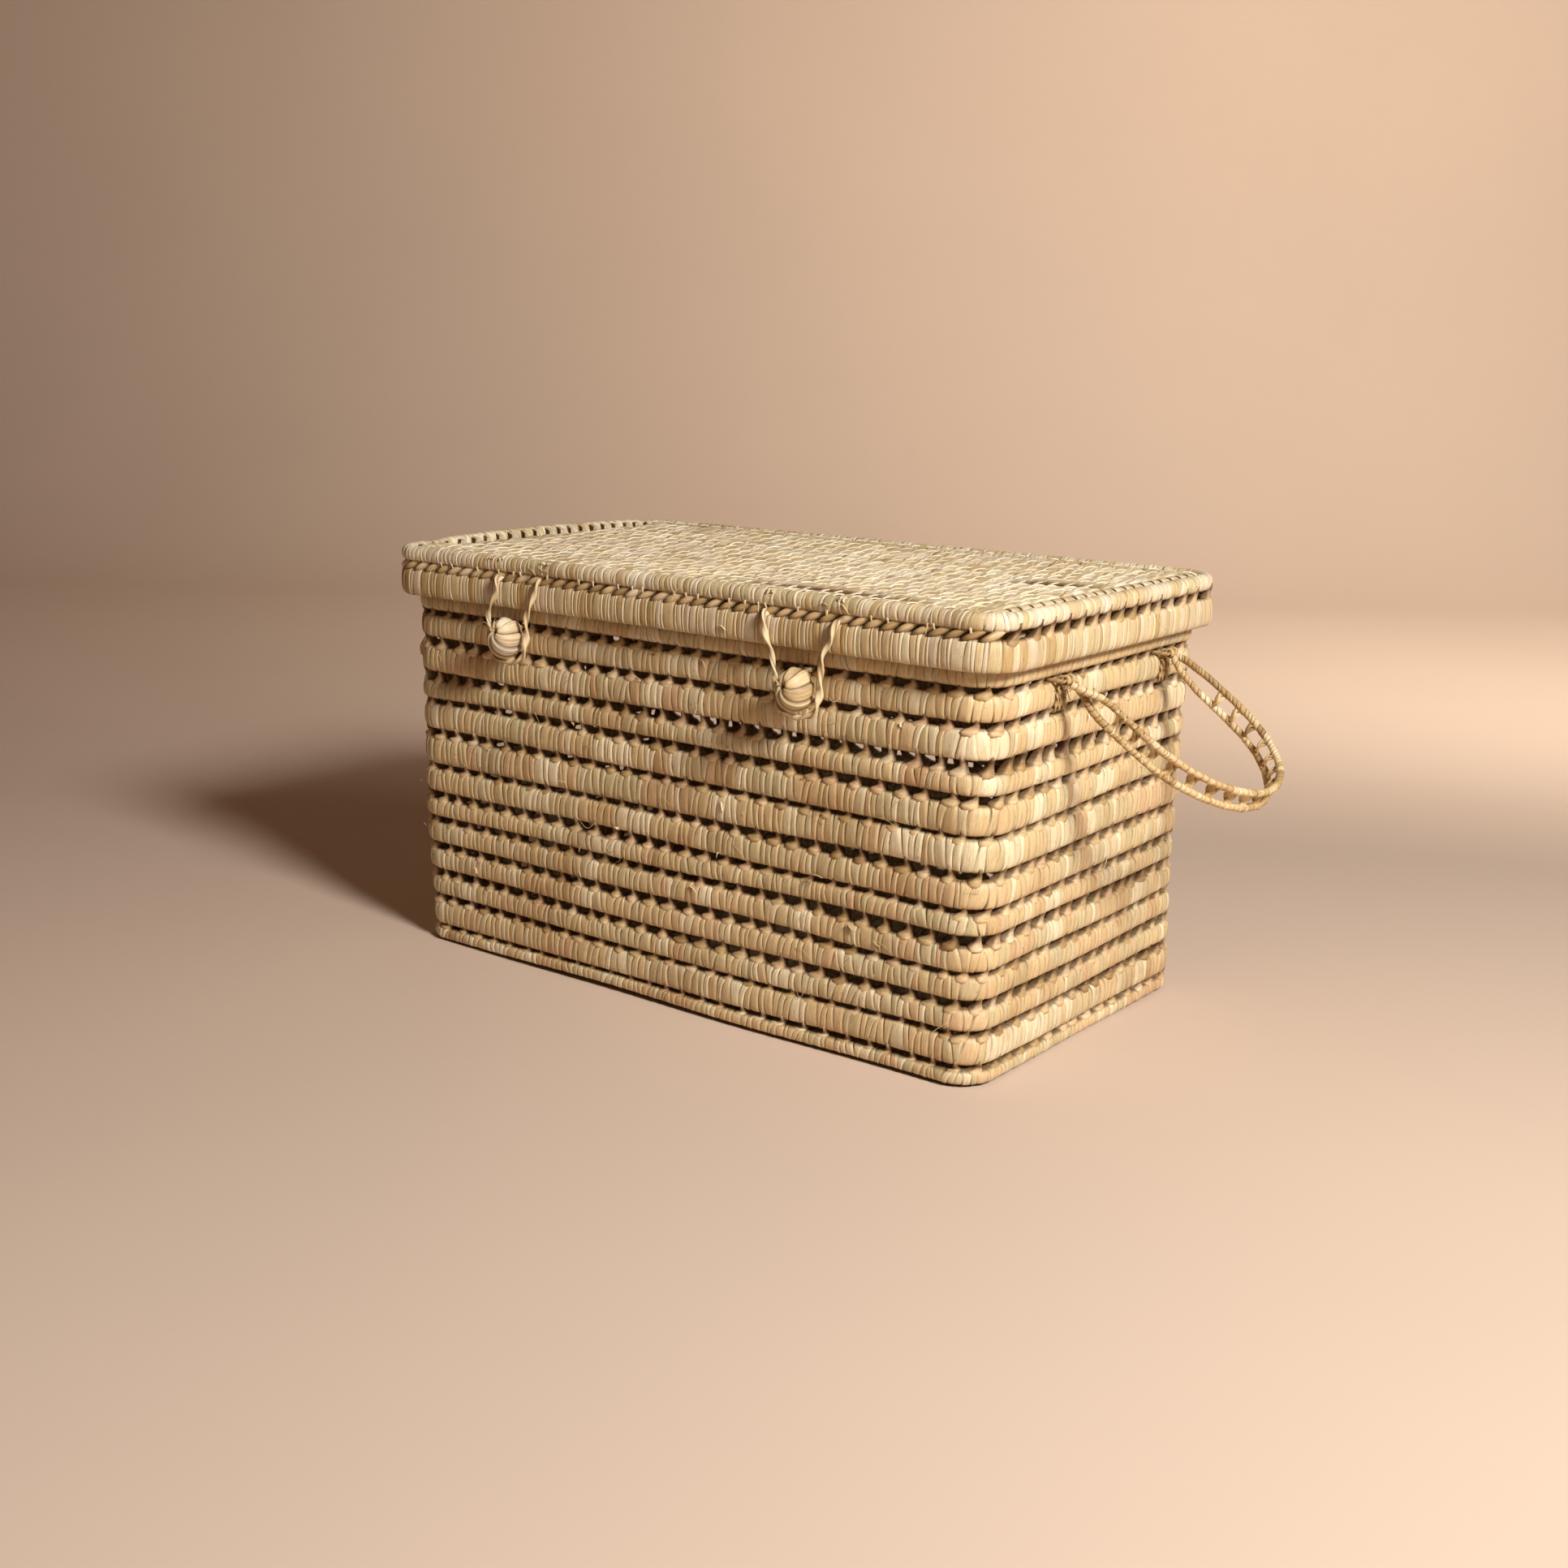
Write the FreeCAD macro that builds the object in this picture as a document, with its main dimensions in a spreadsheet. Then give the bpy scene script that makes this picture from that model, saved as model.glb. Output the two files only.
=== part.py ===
import FreeCAD, Part
import math
import os

from FreeCAD import Placement, Rotation, Vector
from Sketcher import Constraint

# A rectangular coiled-leaf trunk basket with a hinged lid, two toggle closures and two end handles.
# Frame: millimetres, +Z up, the origin at the centre of the foot. +X runs along the basket, and
# the toggles are on the -Y side. Coils are bundles of fibre, so each is one closed rounded ring.

doc = FreeCAD.newDocument("coiled_leaf_trunk")
sheet = doc.addObject("Spreadsheet::Sheet", "Dimensions")
SIZES = {}


def cell(alias, number):
    """Adds one driving dimension to the sheet and returns it as a number."""
    row = len(SIZES) + 1
    SIZES[alias] = number
    sheet.set(f"A{row}", alias)
    sheet.set(f"B{row}", str(number))
    sheet.setAlias(f"B{row}", alias)
    return number


# ---------------------------------------------------------------- driving dimensions
LID_LONG = cell("lid_long", 500.0)
LID_WIDE = cell("lid_wide", 286.0)
LID_CORNER = cell("lid_corner", 27.0)
SKIRT_BASE = cell("skirt_base", 251.0)
SKIRT_TALL = cell("skirt_tall", 19.0)
SKIRT_THICK = cell("skirt_thick", 9.0)
LID_GAP = cell("lid_gap", 4.0)
EDGE_WIDE = cell("edge_wide", 12.0)
EDGE_TALL = cell("edge_tall", 11.0)
RING_WIDE = cell("ring_wide", 13.0)
TOP_THICK = cell("top_thick", 9.0)
TOP_DROP = cell("top_drop", 0.8)

MOUTH_LONG = cell("mouth_long", 480.0)
MOUTH_WIDE = cell("mouth_wide", 266.0)
FOOT_LONG = cell("foot_long", 473.0)
FOOT_WIDE = cell("foot_wide", 264.0)
WALL_CORNER = cell("wall_corner", 24.0)
WALL_THICK = cell("wall_thick", 11.0)
COIL_ROUND = cell("coil_round", 4.0)
PANEL_THICK = cell("panel_thick", 8.0)
PANEL_LIFT = cell("panel_lift", 1.0)
BASE_ROWS = cell("base_rows", 15)
LID_ROWS = cell("lid_rows", 14)
ROW_PITCH = cell("row_pitch", 16.2)
ROW_GROOVE = cell("row_groove", 1.8)

STITCH_PITCH = cell("stitch_pitch", 16.0)
END_PITCH = cell("end_pitch", 16.8)
LONG_STITCHES = cell("long_stitches", 28)
END_STITCHES = cell("end_stitches", 14)
STITCH_WIDE = cell("stitch_wide", 4.5)
STITCH_DEEP = cell("stitch_deep", 2.6)

CORD_R = cell("cord_r", 1.5)
CORD_BEND = cell("cord_bend", 2.0)
CORD_CLEAR = cell("cord_clear", 2.5)
PLAY = cell("play", 0.3)
HINGE_OUT = cell("hinge_out", 1.5)
HINGE_DROP = cell("hinge_drop", 2.0)
STAPLE_HALF = cell("staple_half", 7.0)
BAND_HALF = cell("band_half", 4.0)
BAND_THIN = cell("band_thin", 0.5)
BAND_PROUD = cell("band_proud", 1.2)
BAND_UNDER = cell("band_under", 0.6)
BAND_OVER = cell("band_over", 1.6)
TOGGLE_R = cell("toggle_r", 13.5)
TOGGLE_CLEAR = cell("toggle_clear", 0.6)
PIVOT_OUT = cell("pivot_out", 1.6)
BAR_WIDE = cell("bar_wide", 5.0)
NECK_R = cell("neck_r", 1.2)
STEM_PAST = cell("stem_past", 3.0)
LOOP_SIDE = cell("loop_side", 16.0)
LOOP_CLEAR = cell("loop_clear", 0.4)
LOOP_UNDER = cell("loop_under", 1.2)
LOOP_SPREAD = cell("loop_spread", 3.0)
LOOP_TUCK = cell("loop_tuck", 2.0)
STRAND_R = cell("strand_r", 2.3)
STRAND_APART = cell("strand_apart", 12.0)
HANDLE_DEEP = cell("handle_deep", 118.0)
HANDLE_DIP = cell("handle_dip", 35.0)
PIN_OUT = cell("pin_out", 5.0)
LEG_RUN = cell("leg_run", 30.0)
LEG_BEND = cell("leg_bend", 20.0)
GRIP_INSET = cell("grip_inset", 3.0)
GRIP_RUNGS = cell("grip_rungs", 13)
EYE_R = cell("eye_r", 3.5)
EYE_WIDE = cell("eye_wide", 4.0)
EYE_OVERLAP = cell("eye_overlap", 0.4)
EYE_APART = cell("eye_apart", 0.4)

# Height of each wall coil above the foot coil, and the open row of stitches under it.
FOOT_TALL = cell("foot_tall", 10.5)
COURSES = (
    (2.2, 18.1), (3.3, 14.2), (5.2, 15.2), (4.1, 15.3), (5.4, 13.0), (4.3, 16.9), (4.1, 19.9),
    (3.3, 18.4), (4.4, 13.3), (6.3, 18.4), (4.7, 16.2), (3.6, 12.4), (3.6, 17.4),
)
SKIRT_TOP = SKIRT_BASE + SKIRT_TALL
LID_UNDER = SKIRT_TOP + LID_GAP
LID_TOP = LID_UNDER + EDGE_TALL

# Half length, half width and corner that an outline is drawn with before its constraints size it.
SKETCH_START = (100.0, 60.0, 10.0)
PARTS = []


def keep(thing, label):
    """Names a finished sub-part, which is written under that name."""
    thing.Label = label
    PARTS.append(thing)
    return thing


# ---------------------------------------------------------------- sketches and bodies
def plane_of(body, role):
    return next(f for f in body.Origin.OriginFeatures if f.Role == role)


def new_sketch(body, name, role="XY_Plane"):
    sketch = body.newObject("Sketcher::SketchObject", name)
    sketch.AttachmentSupport = (plane_of(body, role), [""])
    sketch.MapMode = "FlatFace"
    return sketch


def rounded_outline(sketch, prefix, long_side, wide_side, corner):
    """A rectangle with round corners about the origin. The three sizes are expressions."""
    hx, hy, r = SKETCH_START
    first = sketch.GeometryCount
    corners = ((hx, -hy, 270), (hx, hy, 0), (-hx, hy, 90), (-hx, -hy, 180))
    for x, y, start in corners:
        centre = Vector(x - math.copysign(r, x), y - math.copysign(r, y), 0)
        circle = Part.Circle(centre, Vector(0, 0, 1), r)
        sketch.addGeometry(Part.ArcOfCircle(circle, math.radians(start), math.radians(start + 90)))
    for i in range(4):
        start = sketch.getPoint(first + i, 2)
        end = sketch.getPoint(first + (i + 1) % 4, 1)
        sketch.addGeometry(Part.LineSegment(start, end))
    arcs = [first + i for i in range(4)]
    lines = [first + 4 + i for i in range(4)]
    for i in range(4):
        sketch.addConstraint(Constraint("Tangent", arcs[i], 2, lines[i], 1))
        sketch.addConstraint(Constraint("Tangent", lines[i], 2, arcs[(i + 1) % 4], 1))
    for i in (1, 2, 3):
        sketch.addConstraint(Constraint("Equal", arcs[0], arcs[i]))
    for i in (0, 2):
        sketch.addConstraint(Constraint("Vertical", lines[i]))
        sketch.addConstraint(Constraint("Horizontal", lines[i + 1]))
    sketch.addConstraint(Constraint("Symmetric", arcs[0], 3, arcs[2], 3, -1, 1))
    radius = sketch.addConstraint(Constraint("Radius", arcs[0], r))
    reach_x = sketch.addConstraint(Constraint("DistanceX", arcs[3], 3, arcs[0], 3, 2 * (hx - r)))
    reach_y = sketch.addConstraint(Constraint("DistanceY", arcs[0], 3, arcs[1], 3, 2 * (hy - r)))
    for index, name in ((radius, "corner"), (reach_x, "along"), (reach_y, "across")):
        sketch.renameConstraint(index, f"{prefix}_{name}")
    sketch.setExpression(f"Constraints.{prefix}_corner", corner)
    sketch.setExpression(f"Constraints.{prefix}_along", f"{long_side} - 2 * ({corner})")
    sketch.setExpression(f"Constraints.{prefix}_across", f"{wide_side} - 2 * ({corner})")


def flat_edges(shape):
    """The names of the edges that lie level, which run round the top and the bottom."""
    names = []
    for i, edge in enumerate(shape.Edges, 1):
        box = edge.BoundBox
        if box.ZLength < 1e-6:
            names.append(f"Edge{i}")
    return names


def coil_ring(label, long_side, wide_side, corner, thick, base, tall):
    """One coil laid round as a rounded rectangle. Every size is an expression in the sheet."""
    body = doc.addObject("PartDesign::Body", label)
    sketch = new_sketch(body, label + "_outline")
    rounded_outline(sketch, "outer", long_side, wide_side, corner)
    rounded_outline(
        sketch, "inner", f"{long_side} - 2 * {thick}", f"{wide_side} - 2 * {thick}",
        f"{corner} - {thick}",
    )
    pad = body.newObject("PartDesign::Pad", label + "_bundle")
    pad.Profile = sketch
    pad.setExpression("Length", tall)
    doc.recompute()
    rounding = body.newObject("PartDesign::Fillet", label + "_rounding")
    rounding.Base = (pad, flat_edges(pad.Shape))
    rounding.setExpression("Radius", "Dimensions.coil_round")
    body.setExpression("Placement.Base.z", base)
    return keep(body, label)


def coiled_panel(label, long_side, wide_side, corner, thick, base, rows):
    """A flat field of coils side by side: a plate with a groove above and below each joint."""
    body = doc.addObject("PartDesign::Body", label)
    outline = new_sketch(body, label + "_outline")
    rounded_outline(outline, "outer", long_side, wide_side, corner)
    plate = body.newObject("PartDesign::Pad", label + "_plate")
    plate.Profile = outline
    plate.setExpression("Length", thick)
    notch = new_sketch(body, label + "_notches", "YZ_Plane")
    depth = ROW_GROOVE
    first_joint = -ROW_PITCH * (rows - 2) / 2
    for level, inward in ((0.0, 1.0), (SIZES[thick.split(".")[1]], -1.0)):
        points = [
            Vector(first_joint - depth, level - inward * depth, 0),
            Vector(first_joint + depth, level - inward * depth, 0),
            Vector(first_joint, level + inward * depth, 0),
        ]
        for i in range(3):
            line = notch.addGeometry(Part.LineSegment(points[i], points[(i + 1) % 3]))
            if i:
                notch.addConstraint(Constraint("Coincident", line - 1, 2, line, 1))
        notch.addConstraint(Constraint("Coincident", line, 2, line - 2, 1))
    groove = body.newObject("PartDesign::Pocket", label + "_groove")
    groove.Profile = notch
    groove.Type = "Length"
    groove.Midplane = True
    groove.setExpression("Length", f"{long_side} + 10")
    doc.recompute()
    pattern = body.newObject("PartDesign::LinearPattern", label + "_joints")
    pattern.Originals = [groove]
    pattern.Direction = (notch, ["H_Axis"])
    pattern.setExpression("Length", f"Dimensions.row_pitch * {rows - 2}")
    pattern.Occurrences = rows - 1
    body.Tip = pattern
    body.setExpression("Placement.Base.z", base)
    return keep(body, label)


# ---------------------------------------------------------------- stations and cords
def stations(half_x, half_y, corner, shifted):
    """Where the stitches stand round a rounded rectangle: (x, y, turn in degrees).

    On the long sides they stand half a pitch off the middle, or on it if shifted."""
    spots = []
    reach = half_x - corner
    first = -LONG_STITCHES / 2 + (0.0 if shifted else 0.5)
    for i in range(LONG_STITCHES + (1 if shifted else 0)):
        x = (first + i) * STITCH_PITCH
        if abs(x) <= reach + STITCH_WIDE:
            spots += [(x, -half_y, 0.0), (x, half_y, 180.0)]
    for i in range(END_STITCHES):
        y = (i + 0.5 - END_STITCHES / 2) * END_PITCH
        spots += [(half_x, y, 90.0), (-half_x, y, 270.0)]
    for sx, sy, turn in ((1, -1, 45), (1, 1, 135), (-1, 1, 225), (-1, -1, 315)):
        diagonal = corner * math.sqrt(0.5)
        spots.append((sx * (reach + diagonal), sy * (half_y - corner + diagonal), turn))
    return spots


def stitch_row(label, half_x, half_y, corner, base, tall, shifted=False):
    """The long stitches that hold one coil on the next, as separate posts in the open row."""
    posts = []
    first = Vector(-STITCH_WIDE / 2, -STITCH_DEEP / 2, 0)
    for x, y, turn in stations(half_x, half_y, corner, shifted):
        post = Part.makeBox(STITCH_WIDE, STITCH_DEEP, tall, first)
        post.rotate(Vector(0, 0, 0), Vector(0, 0, 1), turn)
        post.translate(Vector(x, y, 0))
        posts.append(post)
    row = doc.addObject("Part::Feature", label)
    row.Shape = Part.makeCompound(posts)
    row.Placement = Placement(Vector(0, 0, base), Rotation())
    return keep(row, label)


def round_path(points, radii, closed=False):
    """Straight runs joined by tangent arcs. radii has one radius for each point that is turned."""
    count = len(points)
    turned = range(count) if closed else range(1, count - 1)
    joins = {}
    for k, i in enumerate(turned):
        here = points[i]
        back = (points[i - 1] - here).normalize()
        ahead = (points[(i + 1) % count] - here).normalize()
        half = math.acos(max(-1.0, min(1.0, back.dot(ahead)))) / 2
        reach = radii[k] / math.tan(half)
        middle = (back + ahead).normalize()
        centre = here + middle * (radii[k] / math.sin(half))
        joins[i] = (here + back * reach, centre - middle * radii[k], here + ahead * reach)
    edges = []
    for i in range(count if closed else count - 1):
        j = (i + 1) % count
        start = joins[i][2] if i in joins else points[i]
        end = joins[j][0] if j in joins else points[j]
        if (end - start).Length > 1e-4:
            edges.append(Part.LineSegment(start, end).toShape())
        if j in joins:
            edges.append(Part.Arc(*joins[j]).toShape())
    return Part.Wire(edges)


def cord_along(path, radius):
    """A round cord swept along a path of runs and arcs."""
    start = path.Edges[0].firstVertex().Point
    along = path.Edges[0].tangentAt(path.Edges[0].FirstParameter)
    section = Part.Wire(Part.Circle(start, along, radius).toShape())
    return path.makePipeShell([section], True, True)


def cord(label, shape, place=None):
    feature = doc.addObject("Part::Feature", label)
    feature.Shape = shape
    feature.Placement = place or Placement()
    return keep(feature, label)


def eye_at(centre, axis, width):
    """A ring of cord turned round a pin: a short tube about an axis."""
    start = centre - axis * (width / 2)
    outer = Part.makeCylinder(EYE_R, width, start, axis)
    return outer.cut(Part.makeCylinder(CORD_R + PLAY, width, start, axis))


# ---------------------------------------------------------------- the basket
def course_levels():
    """(base, height, gap under it) of each wall coil, from the foot coil up."""
    level = FOOT_TALL
    courses = []
    for gap, tall in COURSES:
        courses.append((level + gap, tall, gap))
        level += gap + tall
    return courses


LEVELS = course_levels()
WALL_TOP = LEVELS[-1][0] + LEVELS[-1][1]


def side_at(foot, mouth, level):
    """The outer length or width of the wall at a height, as the basket widens to its mouth."""
    return round(foot + (mouth - foot) * min(1.0, level / LEVELS[-2][0]), 2)


def basket_wall():
    coil_ring(
        "base_coil", "Dimensions.foot_long", "Dimensions.foot_wide", "Dimensions.wall_corner",
        "Dimensions.wall_thick", "0", "Dimensions.foot_tall",
    )
    inner = "2 * Dimensions.wall_thick"
    coiled_panel(
        "base_panel", f"Dimensions.foot_long - {inner}", f"Dimensions.foot_wide - {inner}",
        "Dimensions.wall_corner - Dimensions.wall_thick", "Dimensions.panel_thick",
        "Dimensions.panel_lift", BASE_ROWS,
    )
    for i, (base, tall, gap) in enumerate(LEVELS, 1):
        label = "rim_coil" if i == len(LEVELS) else f"wall_coil_{i:02d}"
        cell(f"course_{i:02d}_base", round(base, 2))
        cell(f"course_{i:02d}_tall", tall)
        cell(f"course_{i:02d}_long", side_at(FOOT_LONG, MOUTH_LONG, base))
        cell(f"course_{i:02d}_wide", side_at(FOOT_WIDE, MOUTH_WIDE, base))
        coil_ring(
            label, f"Dimensions.course_{i:02d}_long", f"Dimensions.course_{i:02d}_wide",
            "Dimensions.wall_corner", "Dimensions.wall_thick", f"Dimensions.course_{i:02d}_base",
            f"Dimensions.course_{i:02d}_tall",
        )
        inset = WALL_THICK / 2
        stitch_row(
            f"stitch_row_{i:02d}", SIZES[f"course_{i:02d}_long"] / 2 - inset,
            SIZES[f"course_{i:02d}_wide"] / 2 - inset, WALL_CORNER - inset,
            round(base - gap, 2), gap,
        )


def lid_shell():
    coil_ring(
        "lid_rim_coil", "Dimensions.lid_long", "Dimensions.lid_wide", "Dimensions.lid_corner",
        "Dimensions.skirt_thick", "Dimensions.skirt_base", "Dimensions.skirt_tall",
    )
    inset = SKIRT_THICK / 2
    stitch_row(
        "lid_stitch_row", LID_LONG / 2 - inset, LID_WIDE / 2 - inset, LID_CORNER - inset,
        SKIRT_TOP, LID_GAP, shifted=True,
    )
    over = "Dimensions.skirt_base + Dimensions.skirt_tall + Dimensions.lid_gap"
    coil_ring(
        "lid_edge_coil", "Dimensions.lid_long", "Dimensions.lid_wide", "Dimensions.lid_corner",
        "Dimensions.edge_wide", over, "Dimensions.edge_tall",
    )
    ring = "2 * Dimensions.edge_wide"
    level = f"{over} + Dimensions.edge_tall - Dimensions.top_drop - Dimensions.top_thick"
    coil_ring(
        "lid_ring_coil", f"Dimensions.lid_long - {ring}", f"Dimensions.lid_wide - {ring}",
        "Dimensions.lid_corner - Dimensions.edge_wide", "Dimensions.ring_wide", level,
        "Dimensions.top_thick",
    )
    field = "2 * Dimensions.edge_wide - 2 * Dimensions.ring_wide"
    coiled_panel(
        "lid_panel", f"Dimensions.lid_long - {field}", f"Dimensions.lid_wide - {field}",
        "Dimensions.lid_corner - Dimensions.edge_wide - Dimensions.ring_wide",
        "Dimensions.top_thick", level, LID_ROWS,
    )


# ---------------------------------------------------------------- hinge ties
HINGE_Y = LID_WIDE / 2 + HINGE_OUT
HINGE_Z = SKIRT_BASE - HINGE_DROP
TIE_ROW = 11
TIE_LEVEL = LEVELS[TIE_ROW][0] - LEVELS[TIE_ROW][2] / 2
BACK_FACE = MOUTH_WIDE / 2


def tie_on_basket(label, x):
    """A closed turn of cord: in through the open row, round one stitch, and out to the hinge line."""
    inner = BACK_FACE - WALL_THICK - CORD_CLEAR
    knee = BACK_FACE + CORD_CLEAR
    loop = [
        Vector(x - STAPLE_HALF, inner, TIE_LEVEL),
        Vector(x + STAPLE_HALF, inner, TIE_LEVEL),
        Vector(x + STAPLE_HALF, knee, TIE_LEVEL),
        Vector(x + STAPLE_HALF, HINGE_Y, HINGE_Z),
        Vector(x - STAPLE_HALF, HINGE_Y, HINGE_Z),
        Vector(x - STAPLE_HALF, knee, TIE_LEVEL),
    ]
    path = round_path(loop, [CORD_BEND] * len(loop), closed=True)
    return cord(label, cord_along(path, CORD_R))


def tie_on_lid(label, x):
    """A flat leaf band round the lid's lowest coil, with an eye on the hinge line."""
    inside = LID_WIDE / 2 - SKIRT_THICK
    start = inside - BAND_THIN
    low, high = SKIRT_BASE - BAND_UNDER, SKIRT_TOP + BAND_OVER
    deep = LID_WIDE / 2 + BAND_PROUD - start
    across = 2 * BAND_HALF
    block = Part.makeBox(across, deep, high - low, Vector(x - BAND_HALF, start, low))
    hollow = Part.makeBox(across, SKIRT_THICK, SKIRT_TALL, Vector(x - BAND_HALF, inside, SKIRT_BASE))
    hinge = Vector(x, HINGE_Y, HINGE_Z)
    along = Vector(1, 0, 0)
    pin = Part.makeCylinder(CORD_R + PLAY, 2 * across, hinge - along * across, along)
    band = block.cut(hollow).fuse(eye_at(hinge, along, across)).cut(pin)
    return cord(label, band.removeSplitter())


# ---------------------------------------------------------------- toggles and closing loops
FRONT_FACE = -MOUTH_WIDE / 2
TOGGLE_Y = FRONT_FACE - TOGGLE_R - TOGGLE_CLEAR
STEM_Y = FRONT_FACE - PIVOT_OUT
KNOT_R = 2.2 * CORD_R


def toggle(side, x, drop):
    """A wrapped ball on a short neck with a cross bar, and the stem that holds it to the wall."""
    pivot = Vector(x, STEM_Y, TIE_LEVEL)
    centre = Vector(x, TOGGLE_Y, TIE_LEVEL - drop)
    ball = Part.makeSphere(TOGGLE_R, centre)
    neck = Part.makeCylinder(NECK_R, (centre - pivot).Length, pivot, (centre - pivot))
    bar = Part.makeCylinder(CORD_R, BAR_WIDE, pivot - Vector(BAR_WIDE / 2, 0, 0), Vector(1, 0, 0))
    ball = ball.fuse([neck, bar]).removeSplitter()
    cord(f"toggle_{side}_ball", ball)
    inner = FRONT_FACE + WALL_THICK + STEM_PAST
    start = STEM_Y + CORD_R + PLAY
    stem = Part.makeCylinder(CORD_R, inner - start, Vector(x, start, TIE_LEVEL), Vector(0, 1, 0))
    knot = Part.makeSphere(KNOT_R, Vector(x, inner, TIE_LEVEL))
    cord(f"toggle_{side}_stem", stem.fuse(knot).removeSplitter())


LOOP_Y = -LID_WIDE / 2 - CORD_R - LOOP_CLEAR
LOOP_TOP = SKIRT_TOP + LID_GAP / 2
# Radii of the loop's bends, from the lid on one side, round under the ball, to the lid again.
# It folds down over the skirt's edge as tightly as its own thickness.
LOOP_FOLD = 2 * CORD_R
LOOP_BENDS = (LOOP_FOLD, 14.0, 11.0, 11.0, 14.0, LOOP_FOLD)


def closing_loop(side, x, drop, left, right):
    """A loop of cord from two points of the lid's open row, down round the toggle."""
    under = TIE_LEVEL - drop - TOGGLE_R - CORD_R - LOOP_UNDER
    inside = -LID_WIDE / 2 + SKIRT_THICK / 2 + STITCH_DEEP
    knee = SKIRT_BASE - LOOP_TUCK
    run = [
        Vector(left, inside, LOOP_TOP),
        Vector(left, LOOP_Y, LOOP_TOP),
        Vector(x - LOOP_SIDE - LOOP_SPREAD, LOOP_Y, knee),
        Vector(x - LOOP_SIDE + LOOP_TUCK, LOOP_Y, under),
        Vector(x + LOOP_SIDE - LOOP_TUCK, LOOP_Y, under),
        Vector(x + LOOP_SIDE + LOOP_SPREAD, LOOP_Y, knee),
        Vector(right, LOOP_Y, LOOP_TOP),
        Vector(right, inside, LOOP_TOP),
    ]
    path = round_path(run, LOOP_BENDS)
    print(f"closing_loop_{side}: {path.Length:.1f} mm long, bends of radius {LOOP_BENDS} mm")
    cord(f"closing_loop_{side}", cord_along(path, CORD_R))


# ---------------------------------------------------------------- end handles
HANDLE_MIDDLE = END_PITCH / 2
HANDLE_HALF = 4 * END_PITCH
PIN_X = MOUTH_LONG / 2 + PIN_OUT
GRIP_HALF = HANDLE_HALF - GRIP_INSET
ROUND_START = HANDLE_DEEP - GRIP_HALF


def handle_lashing(label, y, side):
    """A closed turn of cord through the open row, round one stitch. Its outer run is the pin."""
    inner = MOUTH_LONG / 2 - WALL_THICK - CORD_CLEAR
    ring = [
        Vector(side * inner, y - STAPLE_HALF, TIE_LEVEL),
        Vector(side * PIN_X, y - STAPLE_HALF, TIE_LEVEL),
        Vector(side * PIN_X, y + STAPLE_HALF, TIE_LEVEL),
        Vector(side * inner, y + STAPLE_HALF, TIE_LEVEL),
    ]
    path = round_path(ring, [CORD_BEND] * len(ring), closed=True)
    return cord(label, cord_along(path, CORD_R))


def handle_place(side):
    """Carries the flat handle, drawn along +X in its own plane, to its pin and tips it down."""
    turn = Rotation(Vector(0, 1, 0), HANDLE_DIP)
    if side < 0:
        turn = Rotation(Vector(0, 0, 1), 180).multiply(turn)
    return Placement(Vector(side * PIN_X, HANDLE_MIDDLE, TIE_LEVEL), turn)


def strand_path(lift, foot_half):
    """A U in the handle's own frame: from one eye out, round the grip and back to the other."""
    points = [
        Vector(EYE_R - EYE_OVERLAP, -foot_half, 0),
        Vector(LEG_RUN, -GRIP_HALF, lift),
        Vector(ROUND_START, -GRIP_HALF, lift),
    ]
    out = round_path(points, [LEG_BEND])
    back = out.mirror(Vector(0, 0, 0), Vector(0, 1, 0))
    grip = Part.Arc(
        Vector(ROUND_START, -GRIP_HALF, lift),
        Vector(HANDLE_DEEP, 0, lift),
        Vector(ROUND_START, GRIP_HALF, lift),
    ).toShape()
    return Part.Wire(Part.__sortEdges__(out.Edges + [grip] + back.Edges))


def handle_strand(label, side, lift, eye_shift):
    foot_half = HANDLE_HALF + eye_shift
    strand = cord_along(strand_path(lift, foot_half), STRAND_R)
    gap = Part.makeCylinder(
        CORD_R + PLAY, 4 * HANDLE_HALF, Vector(0, -2 * HANDLE_HALF, 0), Vector(0, 1, 0)
    )
    eyes = [eye_at(Vector(0, s * foot_half, 0), Vector(0, 1, 0), EYE_WIDE) for s in (-1, 1)]
    return cord(label, strand.fuse(eyes).cut(gap).removeSplitter(), handle_place(side))


def handle_lacing(label, side):
    """The cross stitches of the ladder plait, each spanning from strand to strand."""
    span = STRAND_APART - 2 * STRAND_R
    spots = [((LEG_RUN + ROUND_START) / 2, way * GRIP_HALF) for way in (-1, 1)]
    for i in range(GRIP_RUNGS):
        angle = math.pi * i / (GRIP_RUNGS - 1)
        spots.append((ROUND_START + GRIP_HALF * math.sin(angle), -GRIP_HALF * math.cos(angle)))
    rungs = [
        Part.makeCylinder(CORD_R, span, Vector(x, y, -span / 2), Vector(0, 0, 1)) for x, y in spots
    ]
    return cord(label, Part.makeCompound(rungs), handle_place(side))


def end_handle(name, side):
    for end, direction in (("front", -1), ("back", 1)):
        y = HANDLE_MIDDLE + direction * HANDLE_HALF
        handle_lashing(f"handle_{name}_lashing_{end}", y, side)
    aside = STRAND_R + EYE_APART
    handle_strand(f"handle_{name}_upper_strand", side, STRAND_APART / 2, aside)
    handle_strand(f"handle_{name}_lower_strand", side, -STRAND_APART / 2, -aside)
    handle_lacing(f"handle_{name}_lacing", side)


# ---------------------------------------------------------------- assembly
# Where the ties stand: in stitch pitches from the middle, between two stitches of the open row.
HINGE_STATION = 8.5

basket_wall()
lid_shell()
for name, x in (("left", -HINGE_STATION * STITCH_PITCH), ("right", HINGE_STATION * STITCH_PITCH)):
    tie_on_basket(f"hinge_tie_{name}_basket", x)
    tie_on_lid(f"hinge_tie_{name}_lid", x)
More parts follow.
